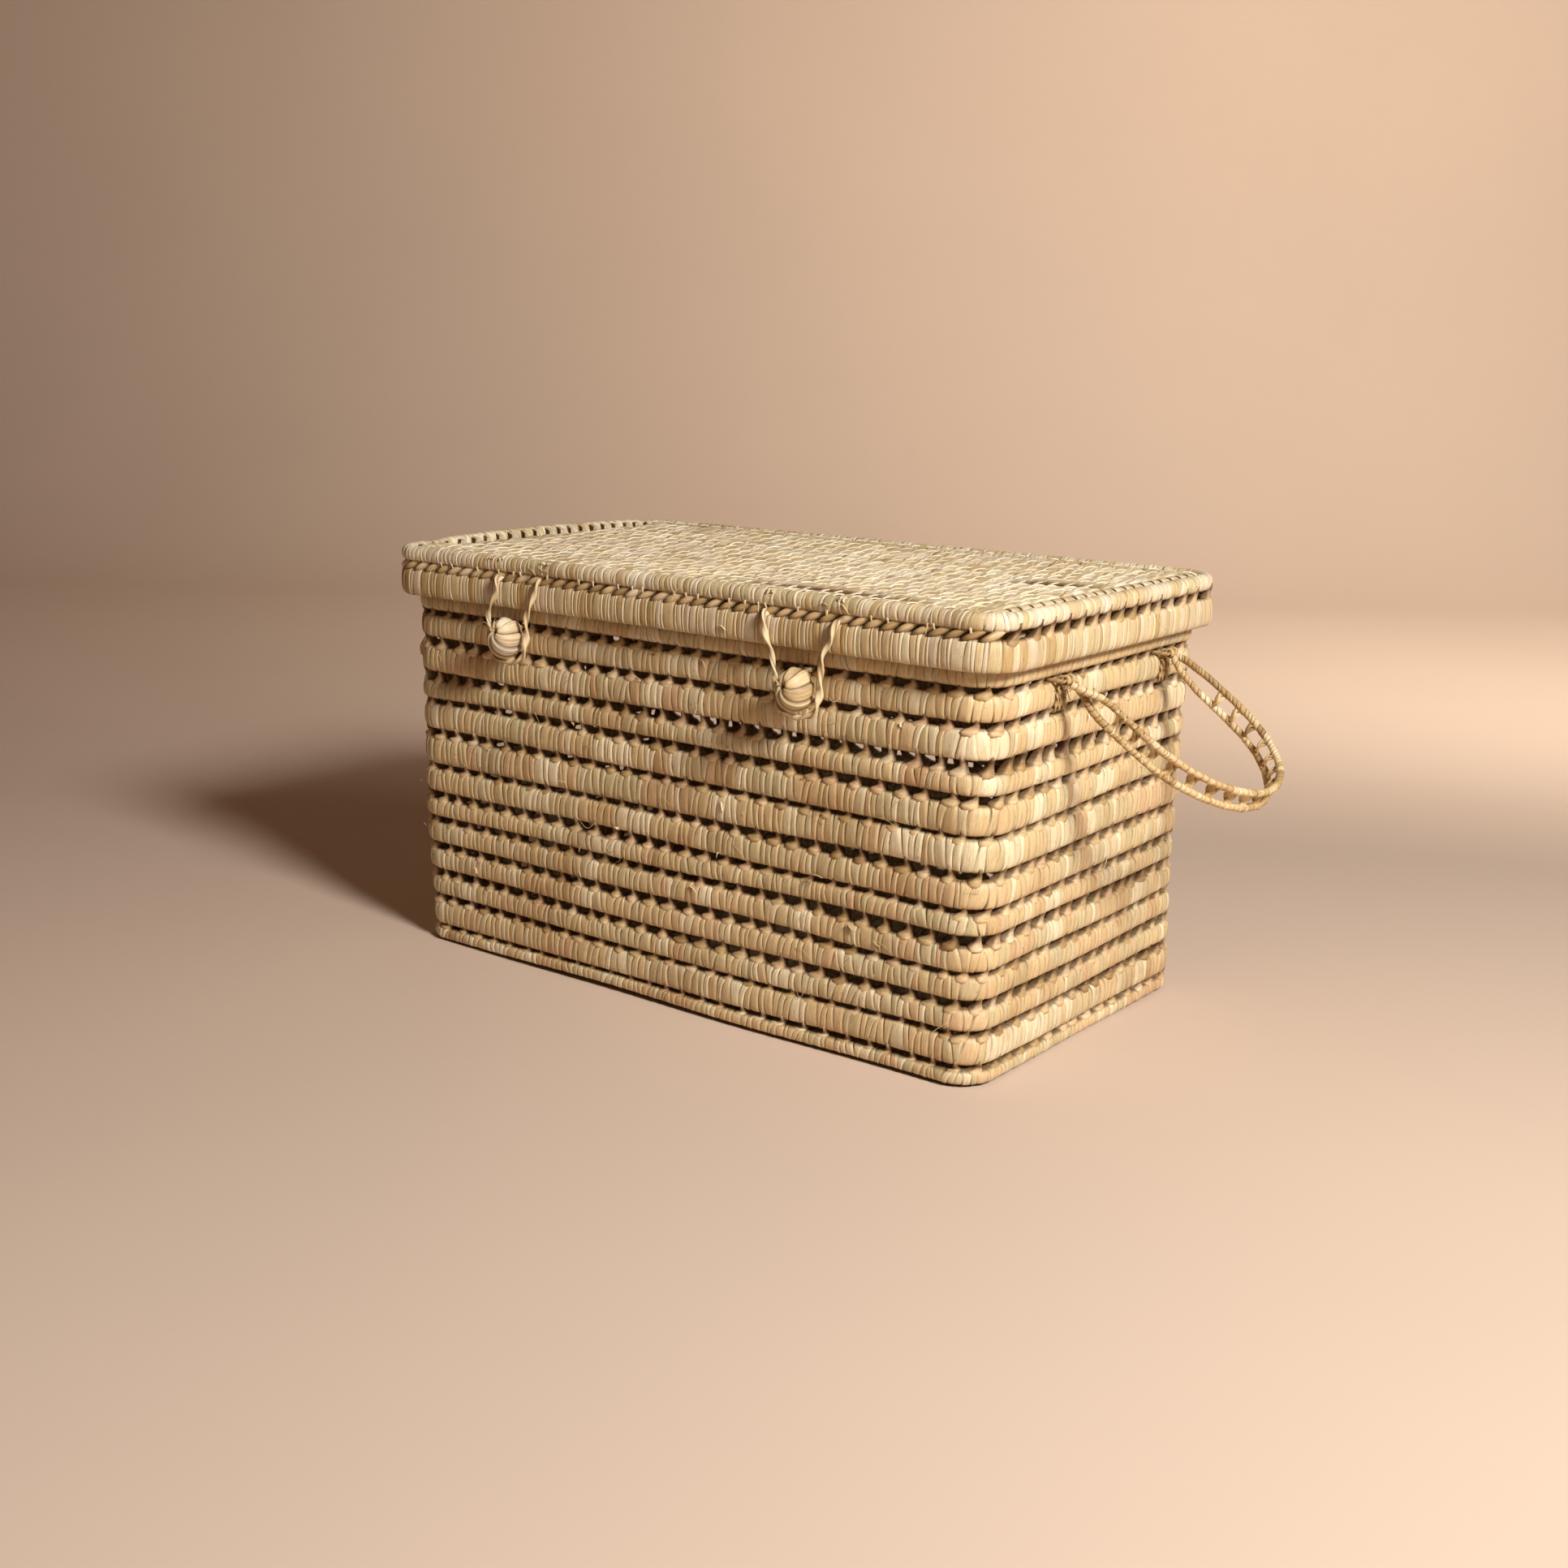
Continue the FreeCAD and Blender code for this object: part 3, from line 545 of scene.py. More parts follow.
def stray_ends(work, track, low, high, thick, tabs, fibres):
    """Loose ends of leaf that stand off a coil, and thin fibres that curl away from it."""
    for i in range(tabs + fibres):
        place, out, on = (v[0] for v in track.at(np.array([chance.uniform(0, track.length)])))
        z = chance.uniform(low + 1.0, high - 1.0)
        start = np.array((*(place + out * (thick / 2 - 0.6)), z))
        away = 1.0 if i < tabs else 1.6
        side, up = chance.uniform(-9, 9) * away, chance.uniform(-6, 4) * away
        end = start + np.array((*(out * chance.uniform(0.8, 2.6) + on * side), up))
        wide = chance.uniform(1.6, 3.6) if i < tabs else 0.45
        tuft(work, start, end, wide, chance.uniform(0.2, 1.0), bow=chance.uniform(-2, 3) * away)


# ---------------------------------------------------------------- the basket
def row_name(i):
    """The CAD node of the wall's coil number i, counted from the foot."""
    return "rim_coil" if i == WALL_ROWS else f"wall_coil_{i:02d}" if i else "base_coil"


def basket_wall():
    """The foot coil, the wall coils and the open rows of stitches between them."""
    phases = [0.0 if i in (TIE_ROW, WALL_ROWS) else ROW_SHIFT * i for i in range(WALL_ROWS + 2)]
    tracks = [track_in(row_name(i), WALL_THICK, WALL_CORNER) for i in range(WALL_ROWS + 1)]
    spots = [
        stations(tracks[min(i, WALL_ROWS)], phases[i], 0.02 if i == TIE_ROW else 0.12)
        for i in range(WALL_ROWS + 2)
    ]
    for i, track in enumerate(tracks):
        low, high = limits(row_name(i))
        foot = low[2] if i else low[2] + FOOT_CROWN
        work = Leafwork()
        strips = wraps_between(spots[i], track.length, 4.0, 6.0 if i else 4.8)
        wrapped_coil(
            work, track, foot, high[2], WALL_THICK, strips, spots[i + 1], wall_warp,
            drift=0.8 if i < TIE_ROW else 0.4, shade=(0.9, 0.75 if i < WALL_ROWS else 0.1),
        )
        if 1 < i < TIE_ROW:
            stray_ends(work, track, low[2], high[2], WALL_THICK, 9, 9)
        work.piece(f"wrapped_{row_name(i)}", "basket", "wall_leaf", [row_name(i)])
        if i:
            low, high = limits(f"stitch_row_{i:02d}")
            work = Leafwork()
            long_stitches(work, track, spots[i], low[2], high[2], WALL_THICK, wall_warp)
            work.piece(f"sewn_row_{i:02d}", "basket", "stitch_leaf", [f"stitch_row_{i:02d}"])


def coil_field(work, rows, half_long, half_wide, low, high, sag, wrap_wide, splits=()):
    """Straight coils side by side. splits names open slits as (row behind it, start, end)."""
    pitch = 2 * half_wide / rows
    for row in range(rows):
        y = -half_wide + (row + 0.5) * pitch
        run = Run(half_long - 1.0, y)
        strips = plain_wraps(run.length, wrap_wide)
        slits = [(start, end) for behind, start, end in splits if behind == row]

        def row_warp(track, s, level):
            """This coil's ripple and sag, and how it draws back from its slits."""
            place, _, _ = track.at(s)
            away = sum(slit_shape(place[:, 0], *slit) for slit in slits)
            return -away + 0.5 * np.sin(s / 31 + 2 * row), sag(place) + 0.35 * away

        def slit(track, s):
            """How far open this coil's slits are, from 0 to 1."""
            place, _, _ = track.at(s)
            return sum((slit_shape(place[:, 0], *slit) / SLIT_WIDE for slit in slits), 0.0 * s)

        wrapped_coil(
            work, run, low, high, pitch + 0.3, strips, None, row_warp, groove=0.25, crown=0.14,
            lean=2.2, sections=16, power=2.2, closed=False, drift=0.15, beside=True, slit=slit,
            shade=(0.45, 0.45), tone_drop=-0.12,
        )


def slit_shape(x, start, end):
    """How far a coil draws back along an open slit, in millimetres."""
    share = np.clip((x - start) / (end - start), 0.0, 1.0)
    return SLIT_WIDE * np.sin(math.pi * share) ** 0.5


def level_field(place):
    """The base doesn't sink."""
    return 0.0 * place[:, 0]


def base_field():
    """The flat coils of the base."""
    low, high = limits("base_panel")
    work = Leafwork()
    coil_field(work, BASE_ROWS, high[0], high[1], low[2], high[2], level_field, 5.0)
    work.piece("woven_base_panel", "basket", "wall_leaf", ["base_panel"])


# ---------------------------------------------------------------- the lid
def lid_sag(place):
    """The lid's top sinks a little towards its middle and its front right. Its rim doesn't."""
    x, y = place[..., 0] / 225.0, place[..., 1] / 118.0
    bowl = np.clip(1 - abs(x) ** 3, 0, 1) * np.clip(1 - abs(y) ** 3, 0, 1)
    return -bowl * (3.0 + 1.6 * x - 1.2 * y)


def lid_skirt(skirt):
    """The lid's lowest coil, which overhangs the wall."""
    low, high = limits("lid_rim_coil")
    spots = stations(skirt, 0.5, 0.15)
    work = Leafwork()
    strips = wraps_between(np.append(spots, spots + 6.0), skirt.length, 2.0, 6.4)
    wrapped_coil(
        work, skirt, low[2], high[2], SKIRT_THICK, strips, groove=0.55, crown=0.22, lean=0.8,
        drift=0.25, paler=0.25, shade=(0.3, 1.0), tone_drop=0.40,
    )
    stray_ends(work, skirt, low[2] + 3.0, high[2], SKIRT_THICK, 5, 12)
    work.piece("wrapped_lid_rim", "lid", "lid_leaf", ["lid_rim_coil"])


def lid_edge():
    """The coil along the lid's upper edge, with the closing loops' knots on it."""
    low, high = limits("lid_edge_coil")
    edge = track_in("lid_edge_coil", EDGE_WIDE, LID_CORNER)
    thick = EDGE_WIDE - 1.6
    work = Leafwork()
    strips = wraps_between(stations(edge, 0.2, 0.15), edge.length, 2.2, 4.6)
    wrapped_coil(
        work, edge, low[2], high[2], thick, strips, None, edge_warp, groove=0.5, crown=0.2,
        lean=1.6, power=2.2, drift=0.25, proud=0.25, paler=0.3, shade=(1.0, 0.0),
    )
    for x in LOOP_ENDS["left"] + LOOP_ENDS["right"]:
        knot(work, np.array((x + 2.0, low[1] + 3.2, high[2] - 3.0)), 3.6, tilt=x)
    stray_ends(work, edge, low[2] + 4.0, high[2], thick, 16, 10)
    work.piece("wrapped_lid_edge", "lid", "lid_leaf", ["lid_edge_coil"])


def lid_open_row(skirt):
    """The lid's open row: long stitches along the ends, folded leaves along the long sides."""
    low, high = limits("lid_stitch_row")
    work = Leafwork()
    _, front_end, _, _, back_start, back_end, _, _, front_start, _ = skirt.breaks
    spots = np.sort(np.mod(stations(skirt, 0.5, 0.1), skirt.length))
    right_end = (spots > front_end + 8) & (spots < back_start - 8)
    left_end = (spots > back_end + 8) & (spots < front_start - 8)
    spots = spots[right_end | left_end]
    long_stitches(work, skirt, spots, low[2] - 1.0, high[2] + 1.0, SKIRT_THICK, flare=1.1)
    for middle in (0.0, skirt.length / 2):
        for s in np.arange(middle - front_end - 14, middle + front_end + 20, PETAL_PITCH):
            petal(work, skirt, s + chance.uniform(-0.6, 0.6), (low[2] + high[2]) / 2)
    work.piece("sewn_lid_row", "lid", "stitch_leaf", ["lid_stitch_row"])


def lid_rim():
    """The lid's outside, from its skirt up to its edge."""
    skirt = track_in("lid_rim_coil", SKIRT_THICK, LID_CORNER)
    lid_skirt(skirt)
    lid_edge()
    lid_open_row(skirt)


def petal(work, track, s, level):
    """One folded leaf of the lid's open row: an almond that slants up and overlaps the next."""
    length, tall, deep = chance.uniform(15.0, 18.0), chance.uniform(4.6, 5.8), 3.6
    share = np.linspace(0.02, 0.98, 11)
    along = s + (share - 0.42) * length
    fat = np.sin(math.pi * share**0.8) ** 0.9
    rise = (share - 0.45) * 6.4
    sink = 1.5 - 3.4 * share
    place, out, _ = track.at(along)
    rings, shades = [], []
    for i in range(len(share)):
        section, facing, _ = oval(deep / 2 * fat[i] + 0.2, tall / 2 * fat[i] + 0.2, 12, 2.0)
        fold = 0.4 * np.cos(3 * np.arange(12) / 12 * 2 * math.pi)
        reach = SKIRT_THICK / 2 - 3.2 + sink[i] + section[:, :1] + fold[:, None] * fat[i]
        flat = place[i] + out[i] * reach
        rings.append(np.column_stack([flat, level + rise[i] + section[:, 1]]))
        shades.append(np.clip(1.1 - 3.0 * share[i] + 0.8 * (abs(facing[:, 1]) > 0.75), 0, 1))
    across = pairs(chance.uniform(0, 400) + share * length)
    work.loft(rings, chance.beta(2, 2.4), shades, across, lengthwise=True)
    if chance.random() < 0.7:
        place, out, on = (v[0] for v in track.at(np.array([s + chance.uniform(-3, 3)])))
        slide = chance.uniform(-2.0, 3.0)
        line = ((3.2, slide, 4.6), (2.6, 0.6 * slide, 1.8), (2.3, 0.2 * slide, -0.6), (1.2, 0.0, -3.6))
        middle = [(*(place + out * reach + on * ahead), level + up) for reach, ahead, up in line]
        wide_way = np.broadcast_to((*on, 0.0), (4, 3))
        up_way = np.broadcast_to((*out, 0.0), (4, 3))
        flat_strip(work, np.array(middle), wide_way, up_way, chance.uniform(1.2, 2.2), 0.5, 0.95)


def left_gap(track, s):
    """How far open the lid is along its left end, where its two outer coils part."""
    place, out, _ = track.at(s)
    share = np.clip((place[:, 1] + 100.0) / 220.0, 0.0, 1.0)
    return np.clip(-out[:, 0], 0, 1) * np.sin(math.pi * share) ** 0.5


def ring_warp(track, s, level):
    """The second coil draws in and sinks along the gap."""
    return -6.0 * left_gap(track, s), -4.0 * left_gap(track, s)


def edge_warp(track, s, level):
    """The edge coil lifts a little along the gap."""
    return 0.0 * s, 2.6 * left_gap(track, s)


def lid_top():
    """The second coil inside the edge, and the field of lengthwise coils with slanted stitches."""
    low, high = limits("lid_ring_coil")
    ring = track_in("lid_ring_coil", RING_WIDE, LID_CORNER - EDGE_WIDE)
    work = Leafwork()
    wrapped_coil(
        work, ring, low[2], high[2], RING_WIDE + 0.8, plain_wraps(ring.length, 4.8), None, ring_warp,
        groove=0.35, crown=0.18, lean=2.6, power=2.2, drift=0.2, beside=True, slit=left_gap,
        shade=(0.45, 0.3),
    )
    for s in np.arange(0.0, ring.length, BRIDGE_PITCH):
        bridge(work, ring, s + chance.uniform(-1, 1), high[2])
    work.piece("wrapped_lid_ring", "lid", "lid_leaf", ["lid_ring_coil"])

    low, high = limits("lid_panel")
    work = Leafwork()
    coil_field(work, LID_ROWS, high[0], high[1], low[2], high[2], lid_sag, 6.2, LID_SLITS)
    pitch = 2 * high[1] / LID_ROWS
    for row in range(LID_ROWS):
        y = -high[1] + row * pitch
        start = chance.uniform(-7, 3) - high[0] + 12
        for x in np.arange(start, high[0] - 12, FIELD_STITCH):
            field_stitch(work, x + chance.uniform(-1.2, 1.2), y, pitch, high[2])
    work.piece("woven_lid_panel", "lid", "lid_leaf", ["lid_panel"])


def flat_strip(work, middle, wide_way, up_way, wide, thick, tone):
    """A thin leaf strip along a line of middles, with its own width and upward directions."""
    wide = np.broadcast_to(wide, len(middle))
    section, _, _ = oval(1.0, 1.0, 8, 2.6)
    rings = (
        middle[:, None, :]
        + up_way[:, None, :] * (section[:, :1] * thick / 2)
        + wide_way[:, None, :] * (section[:, 1] * wide[:, None] / 2)[..., None]
    )
    steps = np.linalg.norm(np.diff(middle, axis=0), axis=1)
    run = np.concatenate([[0.0], np.cumsum(steps)]) + chance.uniform(0, 400)
    work.loft(rings, tone, 0.0, pairs(run), lengthwise=True)


def lying_strip(work, middle, up, wide, thick, tone):
    """A thin leaf strip that lies along a line on a surface which faces up."""
    on = unit(np.gradient(middle, axis=0))
    side = unit(np.cross(on, up))
    flat_strip(work, middle, side, np.cross(side, on), wide, thick, tone)


def field_stitch(work, x, y, pitch, top):
    """A pale stitch that slants from the joint in front of a coil over its round top."""
    share = np.linspace(0.0, 1.0, 6)
    slide = chance.uniform(5.0, 8.5)
    place = np.column_stack([x + slide * share, y + pitch * (0.02 + 0.78 * share)])
    arch = -3.4 * abs(2 * (0.02 + 0.78 * share) - 1) ** 2.6
    middle = np.column_stack([place, top + lid_sag(place) + arch + 0.1])
    wide = chance.uniform(2.4, 3.6) * (1.15 - 0.5 * share)
    lying_strip(work, middle, (0.0, 0.0, 1.0), wide, 0.9, chance.uniform(0.7, 1.0))


def bridge(work, ring, s, top):
    """A slanted stitch from the edge coil over the second coil, longer across the open gap."""
    share = np.linspace(0.0, 1.0, 7)
    place, out, _ = ring.at(s + 7.0 * share)
    draw, drop = ring_warp(ring, s + 7.0 * share, top)
    reach = RING_WIDE / 2 + 2.5 - (RING_WIDE - 1.0) * share
    reach = reach + draw * np.clip(share * 2.2, 0, 1)
    gap = left_gap(ring, s + 7.0 * share)
    arch = 0.2 - 3.0 * abs(2 * share - 1) ** 2.4 + drop * np.clip(share * 1.4, 0, 1)
    arch += gap * (4.6 * (1 - share) ** 1.5)
    middle = np.column_stack([place + out * reach[:, None], top + arch])
    wide = chance.uniform(2.6, 3.8) + 0.8 * gap.max()
    lying_strip(work, middle, (0.0, 0.0, 1.0), wide, 0.9, chance.uniform(0.6, 1.0))


# ---------------------------------------------------------------- cords
def spline_points(points):
    """The smooth line of a NURBS spline that follows a route, in millimetres."""
    curve = bpy.data.curves.new("route", "CURVE")
    curve.dimensions = "3D"
    curve.resolution_u = 16
    spline = curve.splines.new("NURBS")
    spline.points.add(len(points) - 1)
    for control, point in zip(spline.points, points):
        control.co = (*point, 1.0)
    spline.order_u = 3
    spline.use_endpoint_u = True
    thing = bpy.data.objects.new("route", curve)
    mesh = bpy.data.meshes.new_from_object(thing)
    line = np.array([v.co for v in mesh.vertices])
    bpy.data.objects.remove(thing)
    bpy.data.curves.remove(curve)
    bpy.data.meshes.remove(mesh)
    return line


def even_line(line, step, closed=False):
    """The line again with points at equal steps, and the distance of each along it."""
    line = np.asarray(line, float)
    if closed:
        line = np.vstack([line, line[:1]])
    distance = np.concatenate([[0.0], np.cumsum(np.linalg.norm(np.diff(line, axis=0), axis=1))])
    count = max(4, round(distance[-1] / step))
    wanted = np.linspace(0.0, distance[-1], count + 1)
    if closed:
        wanted = wanted[:-1]
    return np.column_stack([np.interp(wanted, distance, line[:, i]) for i in range(3)]), wanted


def frames_along(line, closed=False):
    """Directions onward, and two across that don't twist from point to point."""
    if closed:
        on = np.roll(line, -1, axis=0) - np.roll(line, 1, axis=0)
    else:
        on = np.gradient(line, axis=0)
    on = unit(on)
    first = np.cross(on[0], (0.0, 0.0, 1.0))
    if np.linalg.norm(first) < 0.1:
        first = np.cross(on[0], (1.0, 0.0, 0.0))
    sides = []
    for direction in on:
        first = first - direction * (first @ direction)
        first /= np.linalg.norm(first)
        sides.append(first)
    sides = np.array(sides)
    return on, sides, np.cross(sides, on)


def twisted_cord(work, line, wide, thick, turn_every, tone, closed=False, step=1.2):
    """A leaf strip rolled into a cord: a flat oval that turns as it goes, with a fold line."""
    points, distance = even_line(line, step, closed)
    _, side, over = frames_along(points, closed)
    turns = max(1, round(distance[-1] / turn_every)) if closed else distance[-1] / turn_every
    length = distance[-1] + (step if closed else 0.0)
    angle = 2 * math.pi * turns * distance / length
    section, _, _ = oval(wide / 2, thick / 2, 10, 2.0)
    swell = 1 + 0.10 * np.sin(distance / 3.1) + 0.08 * np.sin(distance / 7.7 + 1)
    c, s = np.cos(angle)[:, None], np.sin(angle)[:, None]
    first = (section[:, 0] * c - section[:, 1] * s) * swell[:, None]
    second = (section[:, 0] * s + section[:, 1] * c) * swell[:, None]
    rings = points[:, None] + first[..., None] * side[:, None] + second[..., None] * over[:, None]
    seam = np.zeros((len(points), 10))
    seam[:, 2] = 0.75
    spans = len(points) if closed else len(points) - 1
    run = np.arange(spans + 1) * step + chance.uniform(0, 400)
    shades = np.clip(tone + 0.10 * np.sin(np.arange(spans) * step / 5.0), 0, 1)
    work.loft(rings, shades, seam, pairs(run), closed=closed, lengthwise=True)
    return points


# ---------------------------------------------------------------- toggles and closing loops
def ball_skin(work, centre, radius, pole):
    """Petals of wide leaf folded over a ball, from the hole at its pole."""
    first = np.cross(pole, (0.0, 0.0, 1.0))
    first /= np.linalg.norm(first)
    second = np.cross(first, -pole)
    per = 8
    count = PETALS * per
    petal_of = np.arange(count) // per
    share = (np.arange(count) % per) / per
    starts = chance.uniform(0.3, 0.7, PETALS)[petal_of]
    pleats = 0.35 * (chance.random(count) < 0.3)
    rings, seams = [], []
    for angle in np.radians(np.concatenate([[3, 7, 11, 15], np.arange(22, 181, 9)])):
        hole = 1.0 - 0.42 * math.exp(-((angle / 0.2) ** 2))
        shingle = 0.15 * (share - 0.5) * min(1.0, angle / 0.5)
        groove = np.where(share == 0, -0.05, 0.0)
        pleat = 0.012 * np.cos(2 * math.pi * share * 3)
        size = radius * (hole * 0.985 + shingle * starts * 1.6 + groove + pleat * math.sin(angle))
        twist = np.arange(count) / count * 2 * math.pi + 0.55 * angle
        out = math.sin(angle) * (np.cos(twist)[:, None] * first + np.sin(twist)[:, None] * second)
        rings.append(centre + size[:, None] * (out + math.cos(angle) * pole) * BALL_SHAPE)
        creases = np.where(share == 0, 0.9, pleats * min(1.0, angle))
        # Dark creases between petals and at some pleats, and painted shade in the hole at the pole.
        seams.append(creases + 0.95 * math.exp(-((angle / 0.17) ** 2)))
    shade = chance.beta(1.5, 1.2, PETALS)[petal_of]
    tones = np.broadcast_to(shade, (len(rings) - 1, count))
    across = pairs(np.arange(len(rings)) * 2.1)
    work.loft(rings, tones, np.clip(seams, 0, 1), across, lengthwise=True)


def toggle_ball(side, hub):
    """A folded ball, its neck and its cross bar. It returns the ball's centre."""
    node = f"toggle_{side}_ball"
    low, high = limits(node)
    radius = (high[0] - low[0]) / 2
    centre = np.array(((low[0] + high[0]) / 2, low[1] + radius, low[2] + radius))
    pole = np.array(hub) / np.linalg.norm(hub)
    work = Leafwork()
    ball_skin(work, centre, radius, pole)
    neck_top = np.array((centre[0], high[1] - CORD_THICK / 2, TIE_LEVEL))
    twisted_cord(work, np.linspace(centre, neck_top, 8), 3.4, 2.4, 9.0, tone=0.4)
    for lean in (-8.0, 5.0):
        start = centre + radius * pole * 0.98
        tuft(work, start, start + (lean, -1.5, 7.0 + 0.3 * lean), 1.6, 0.7, bow=-2.0)
    bar = np.array((2.2, 0.0, 0.0))
    twisted_cord(work, [neck_top - bar, neck_top + bar], 2.6, 2.4, 6.0, tone=0.4)
    work.piece(f"folded_{node}", f"toggle_{side}", "toggle_leaf", [node])
    return centre


def toggle_stem(side, x):
    """The cord that holds a ball, through the wall to a knot inside."""
    node = f"toggle_{side}_stem"
    low, high = limits(node)
    work = Leafwork()
    start, end = np.array((x, low[1], TIE_LEVEL)), np.array((x, high[1] - 3.0, TIE_LEVEL))
    twisted_cord(work, np.linspace(start, end, 8), 3.0, 2.6, 9.0, tone=0.35)
    knot(work, end, 3.2)
    work.piece(f"twisted_{node}", "basket", "cord_leaf", [node])


def knot(work, centre, size, tilt=0.0):
    """A small overhand knot: two turns of cord about each other."""
    turn = np.linspace(0, 4 * math.pi, 40)
    line = np.column_stack(
        [
            size * 0.55 * np.cos(turn) * (1 + 0.3 * np.cos(turn / 2)),
            size * 0.45 * np.sin(turn * 1.5 + 0.5),
            size * 0.55 * np.sin(turn) + 0.2 * size * np.sin(turn / 2),
        ]
    )
    c, s = math.cos(tilt), math.sin(tilt)
    line = line @ np.array(((c, 0, s), (0, 1, 0), (-s, 0, c)))
    twisted_cord(work, line + centre, size * 0.62, size * 0.4, 6.0, tone=0.55, step=0.9)


def closing_loop(side, x, ball, left, right):
    """The twisted leaf loop that hangs from the lid's open row and goes round under the ball."""
    node = f"closing_loop_{side}"
    low, high = limits(node)
    y = low[1] + CORD_THICK / 2
    top = high[2] - CORD_THICK / 2
    under = low[2] + CORD_THICK / 2
    inside = high[1] - CORD_THICK / 2
    knee = top - 23.0
    route = [
        (left, inside, top), (left, inside - 2.5, top), (left - 0.5, y, top - 2.0),
        (left + 1.0, y - 0.6, top - 12.0), (x - LOOP_SIDE - 3.5, y, knee),
        (x - LOOP_SIDE - 0.5, y + 0.6, ball[2] + 3.0), (x - LOOP_SIDE + 2.0, y, under + 3.0),
        (x - 4.0, y, under - 0.8), (x + 4.0, y, under - 0.8),
        (x + LOOP_SIDE - 2.0, y, under + 3.0), (x + LOOP_SIDE + 1.0, y + 0.6, ball[2] + 3.0),
        (x + LOOP_SIDE + 0.5, y, knee), (right - 1.5, y - 0.6, top - 12.0),
        (right + 0.5, y, top - 2.0), (right, inside - 2.5, top), (right, inside, top),
    ]
    line = spline_points(route)
    work = Leafwork()
    points = twisted_cord(work, line, 4.4, 2.0, 30.0, tone=0.8)
    loop = work.piece(f"twisted_{node}", node, "cord_leaf", [node])


def closures():
    """Both balls on their stems, and the loop that goes round under each."""
    for side, stitch, hub in TOGGLES:
        ball = toggle_ball(side, hub)
        toggle_stem(side, ball[0])
        closing_loop(side, stitch * STITCH_PITCH, ball, *LOOP_ENDS[side])


# ---------------------------------------------------------------- end handles
def handle_frame(name, side):
    """Makes the function that takes points drawn flat in the handle's plane to its tipped place."""
    low, high = limits(f"handle_{name}_lashing_front")
    pin_x = max(abs(low[0]), abs(high[0])) - CORD_THICK / 2
    dip = math.radians(HANDLE_DIP)
    onward = np.array((math.cos(dip) * side, 0.0, -math.sin(dip)))
    across = np.array((0.0, float(side), 0.0))
    lift = np.cross(onward, across)
    origin = np.array((side * pin_x, HANDLE_MIDDLE, TIE_LEVEL))
    return lambda p: origin + np.asarray(p) @ np.stack([onward, across, lift])


def grip_line(lift, foot_half):
    """A strand's route: out from its eye, along the leg, round the grip and back to the other eye."""
    grip_half = HANDLE_HALF - 3.0
    bend = HANDLE_DEEP - grip_half
    legs = [(3.1, -foot_half, 0.0), (12.0, -foot_half + 1.2, lift * 0.45)]
    legs += [(22.0, -grip_half - 0.4, lift * 0.85), (LEG_RUN, -grip_half, lift)]
    arc = []
    for angle in np.radians(np.arange(0, 91, 15)):
        arc.append((bend + grip_half * math.sin(angle), -grip_half * math.cos(angle), lift))
    half = legs + [(LEG_RUN + 12.0, -grip_half, lift)] + arc
    back = [(x, -y, z) for x, y, z in reversed(half[:-1])]
    return even_line(np.array(half + back), 0.8)[0]


def wrapped_strand(work, line, thick, wrap_wide, lean):
    """A thin bundle wrapped in leaf: uneven strips that slant round it."""
    points, distance = even_line(line, 0.8)
    starts, stitched = plain_wraps(distance[-1], wrap_wide)
    s, lift, seam, across = strip_columns(starts, stitched, distance[-1], 0.35, 0.18, 0.0)
    per = len(COLUMNS)
    section, facing, _ = oval(thick / 2 - 0.1, thick / 2 - 0.1, 12)
    turn = np.arange(12) / 12 * 2 * math.pi
    moved = np.clip(s[:, None] + lean * np.sin(turn + 0.9), 0, distance[-1])
    _, side, over = frames_along(points)

    def read(values):
        """The line's values where the slanted strips cross them."""
        return np.stack([np.interp(moved, distance, values[:, i]) for i in range(3)], axis=-1)

    swell = 1 + 0.07 * np.sin(s / 9.0 + chance.uniform(0, 6))
    reach = section * swell[:, None, None] + facing * lift[:, None, None]
    rings = read(points) + reach[..., :1] * read(side) + reach[..., 1:] * read(over)
    tones = leaf_tones(len(starts), 0.35)
    work.loft(rings[1:], np.repeat(tones, per)[1:-1], seam[1:], across[1:-1])


def turned_eye(work, centre, thick, place):
    """Two turns of cord round the pin at the foot of a strand."""
    turn = np.linspace(0, 4 * math.pi, 48)
    radius = 2.6
    line = np.column_stack(
        [radius * np.cos(turn), centre + 2 * turn / turn[-1] - 1.0, radius * np.sin(turn)]
    )
    twisted_cord(work, place(line), thick, thick * 0.6, 14.0, tone=0.35, step=1.0)


def cross_stitch(work, place, along, start, end, wide, tone):
    """A leaf strip from one strand to the other: wide where it grips and rolled between them."""
    share = np.linspace(0.0, 1.0, 11)
    begin, finish = along(start), along(end)
    line = begin + (finish - begin) * share[:, None]
    line[:, 2] = (STRAND_APART / 2 + 0.4) * np.cos(math.pi * share)
    bow = 2.3 * np.cos(2 * math.pi * share)
    spot = np.array((HANDLE_DEEP - HANDLE_HALF + 3.0, 0.0, 0.0))
    out = line - spot
    out[:, 0] = np.maximum(out[:, 0], 0.0)
    out[:, 2] = 0.0
    out = unit(out)
    middle = place(line + out * bow[:, None] * 0.9)
    on = unit(np.gradient(middle, axis=0))
    side = unit(np.cross(on, place(out) - place(np.zeros(3))))
    turn = 0.8 * np.sin(math.pi * share)[:, None]
    rolled = np.cos(turn) * side + np.sin(turn) * np.cross(on, side)
    ends = np.minimum(1.0, 0.25 + 5 * np.minimum(share, 1 - share))
    breadth = wide * (0.5 + 0.6 * np.cos(2 * math.pi * share) ** 2) * ends
    flat_strip(work, middle, rolled, np.cross(rolled, on), breadth, 1.5, tone)


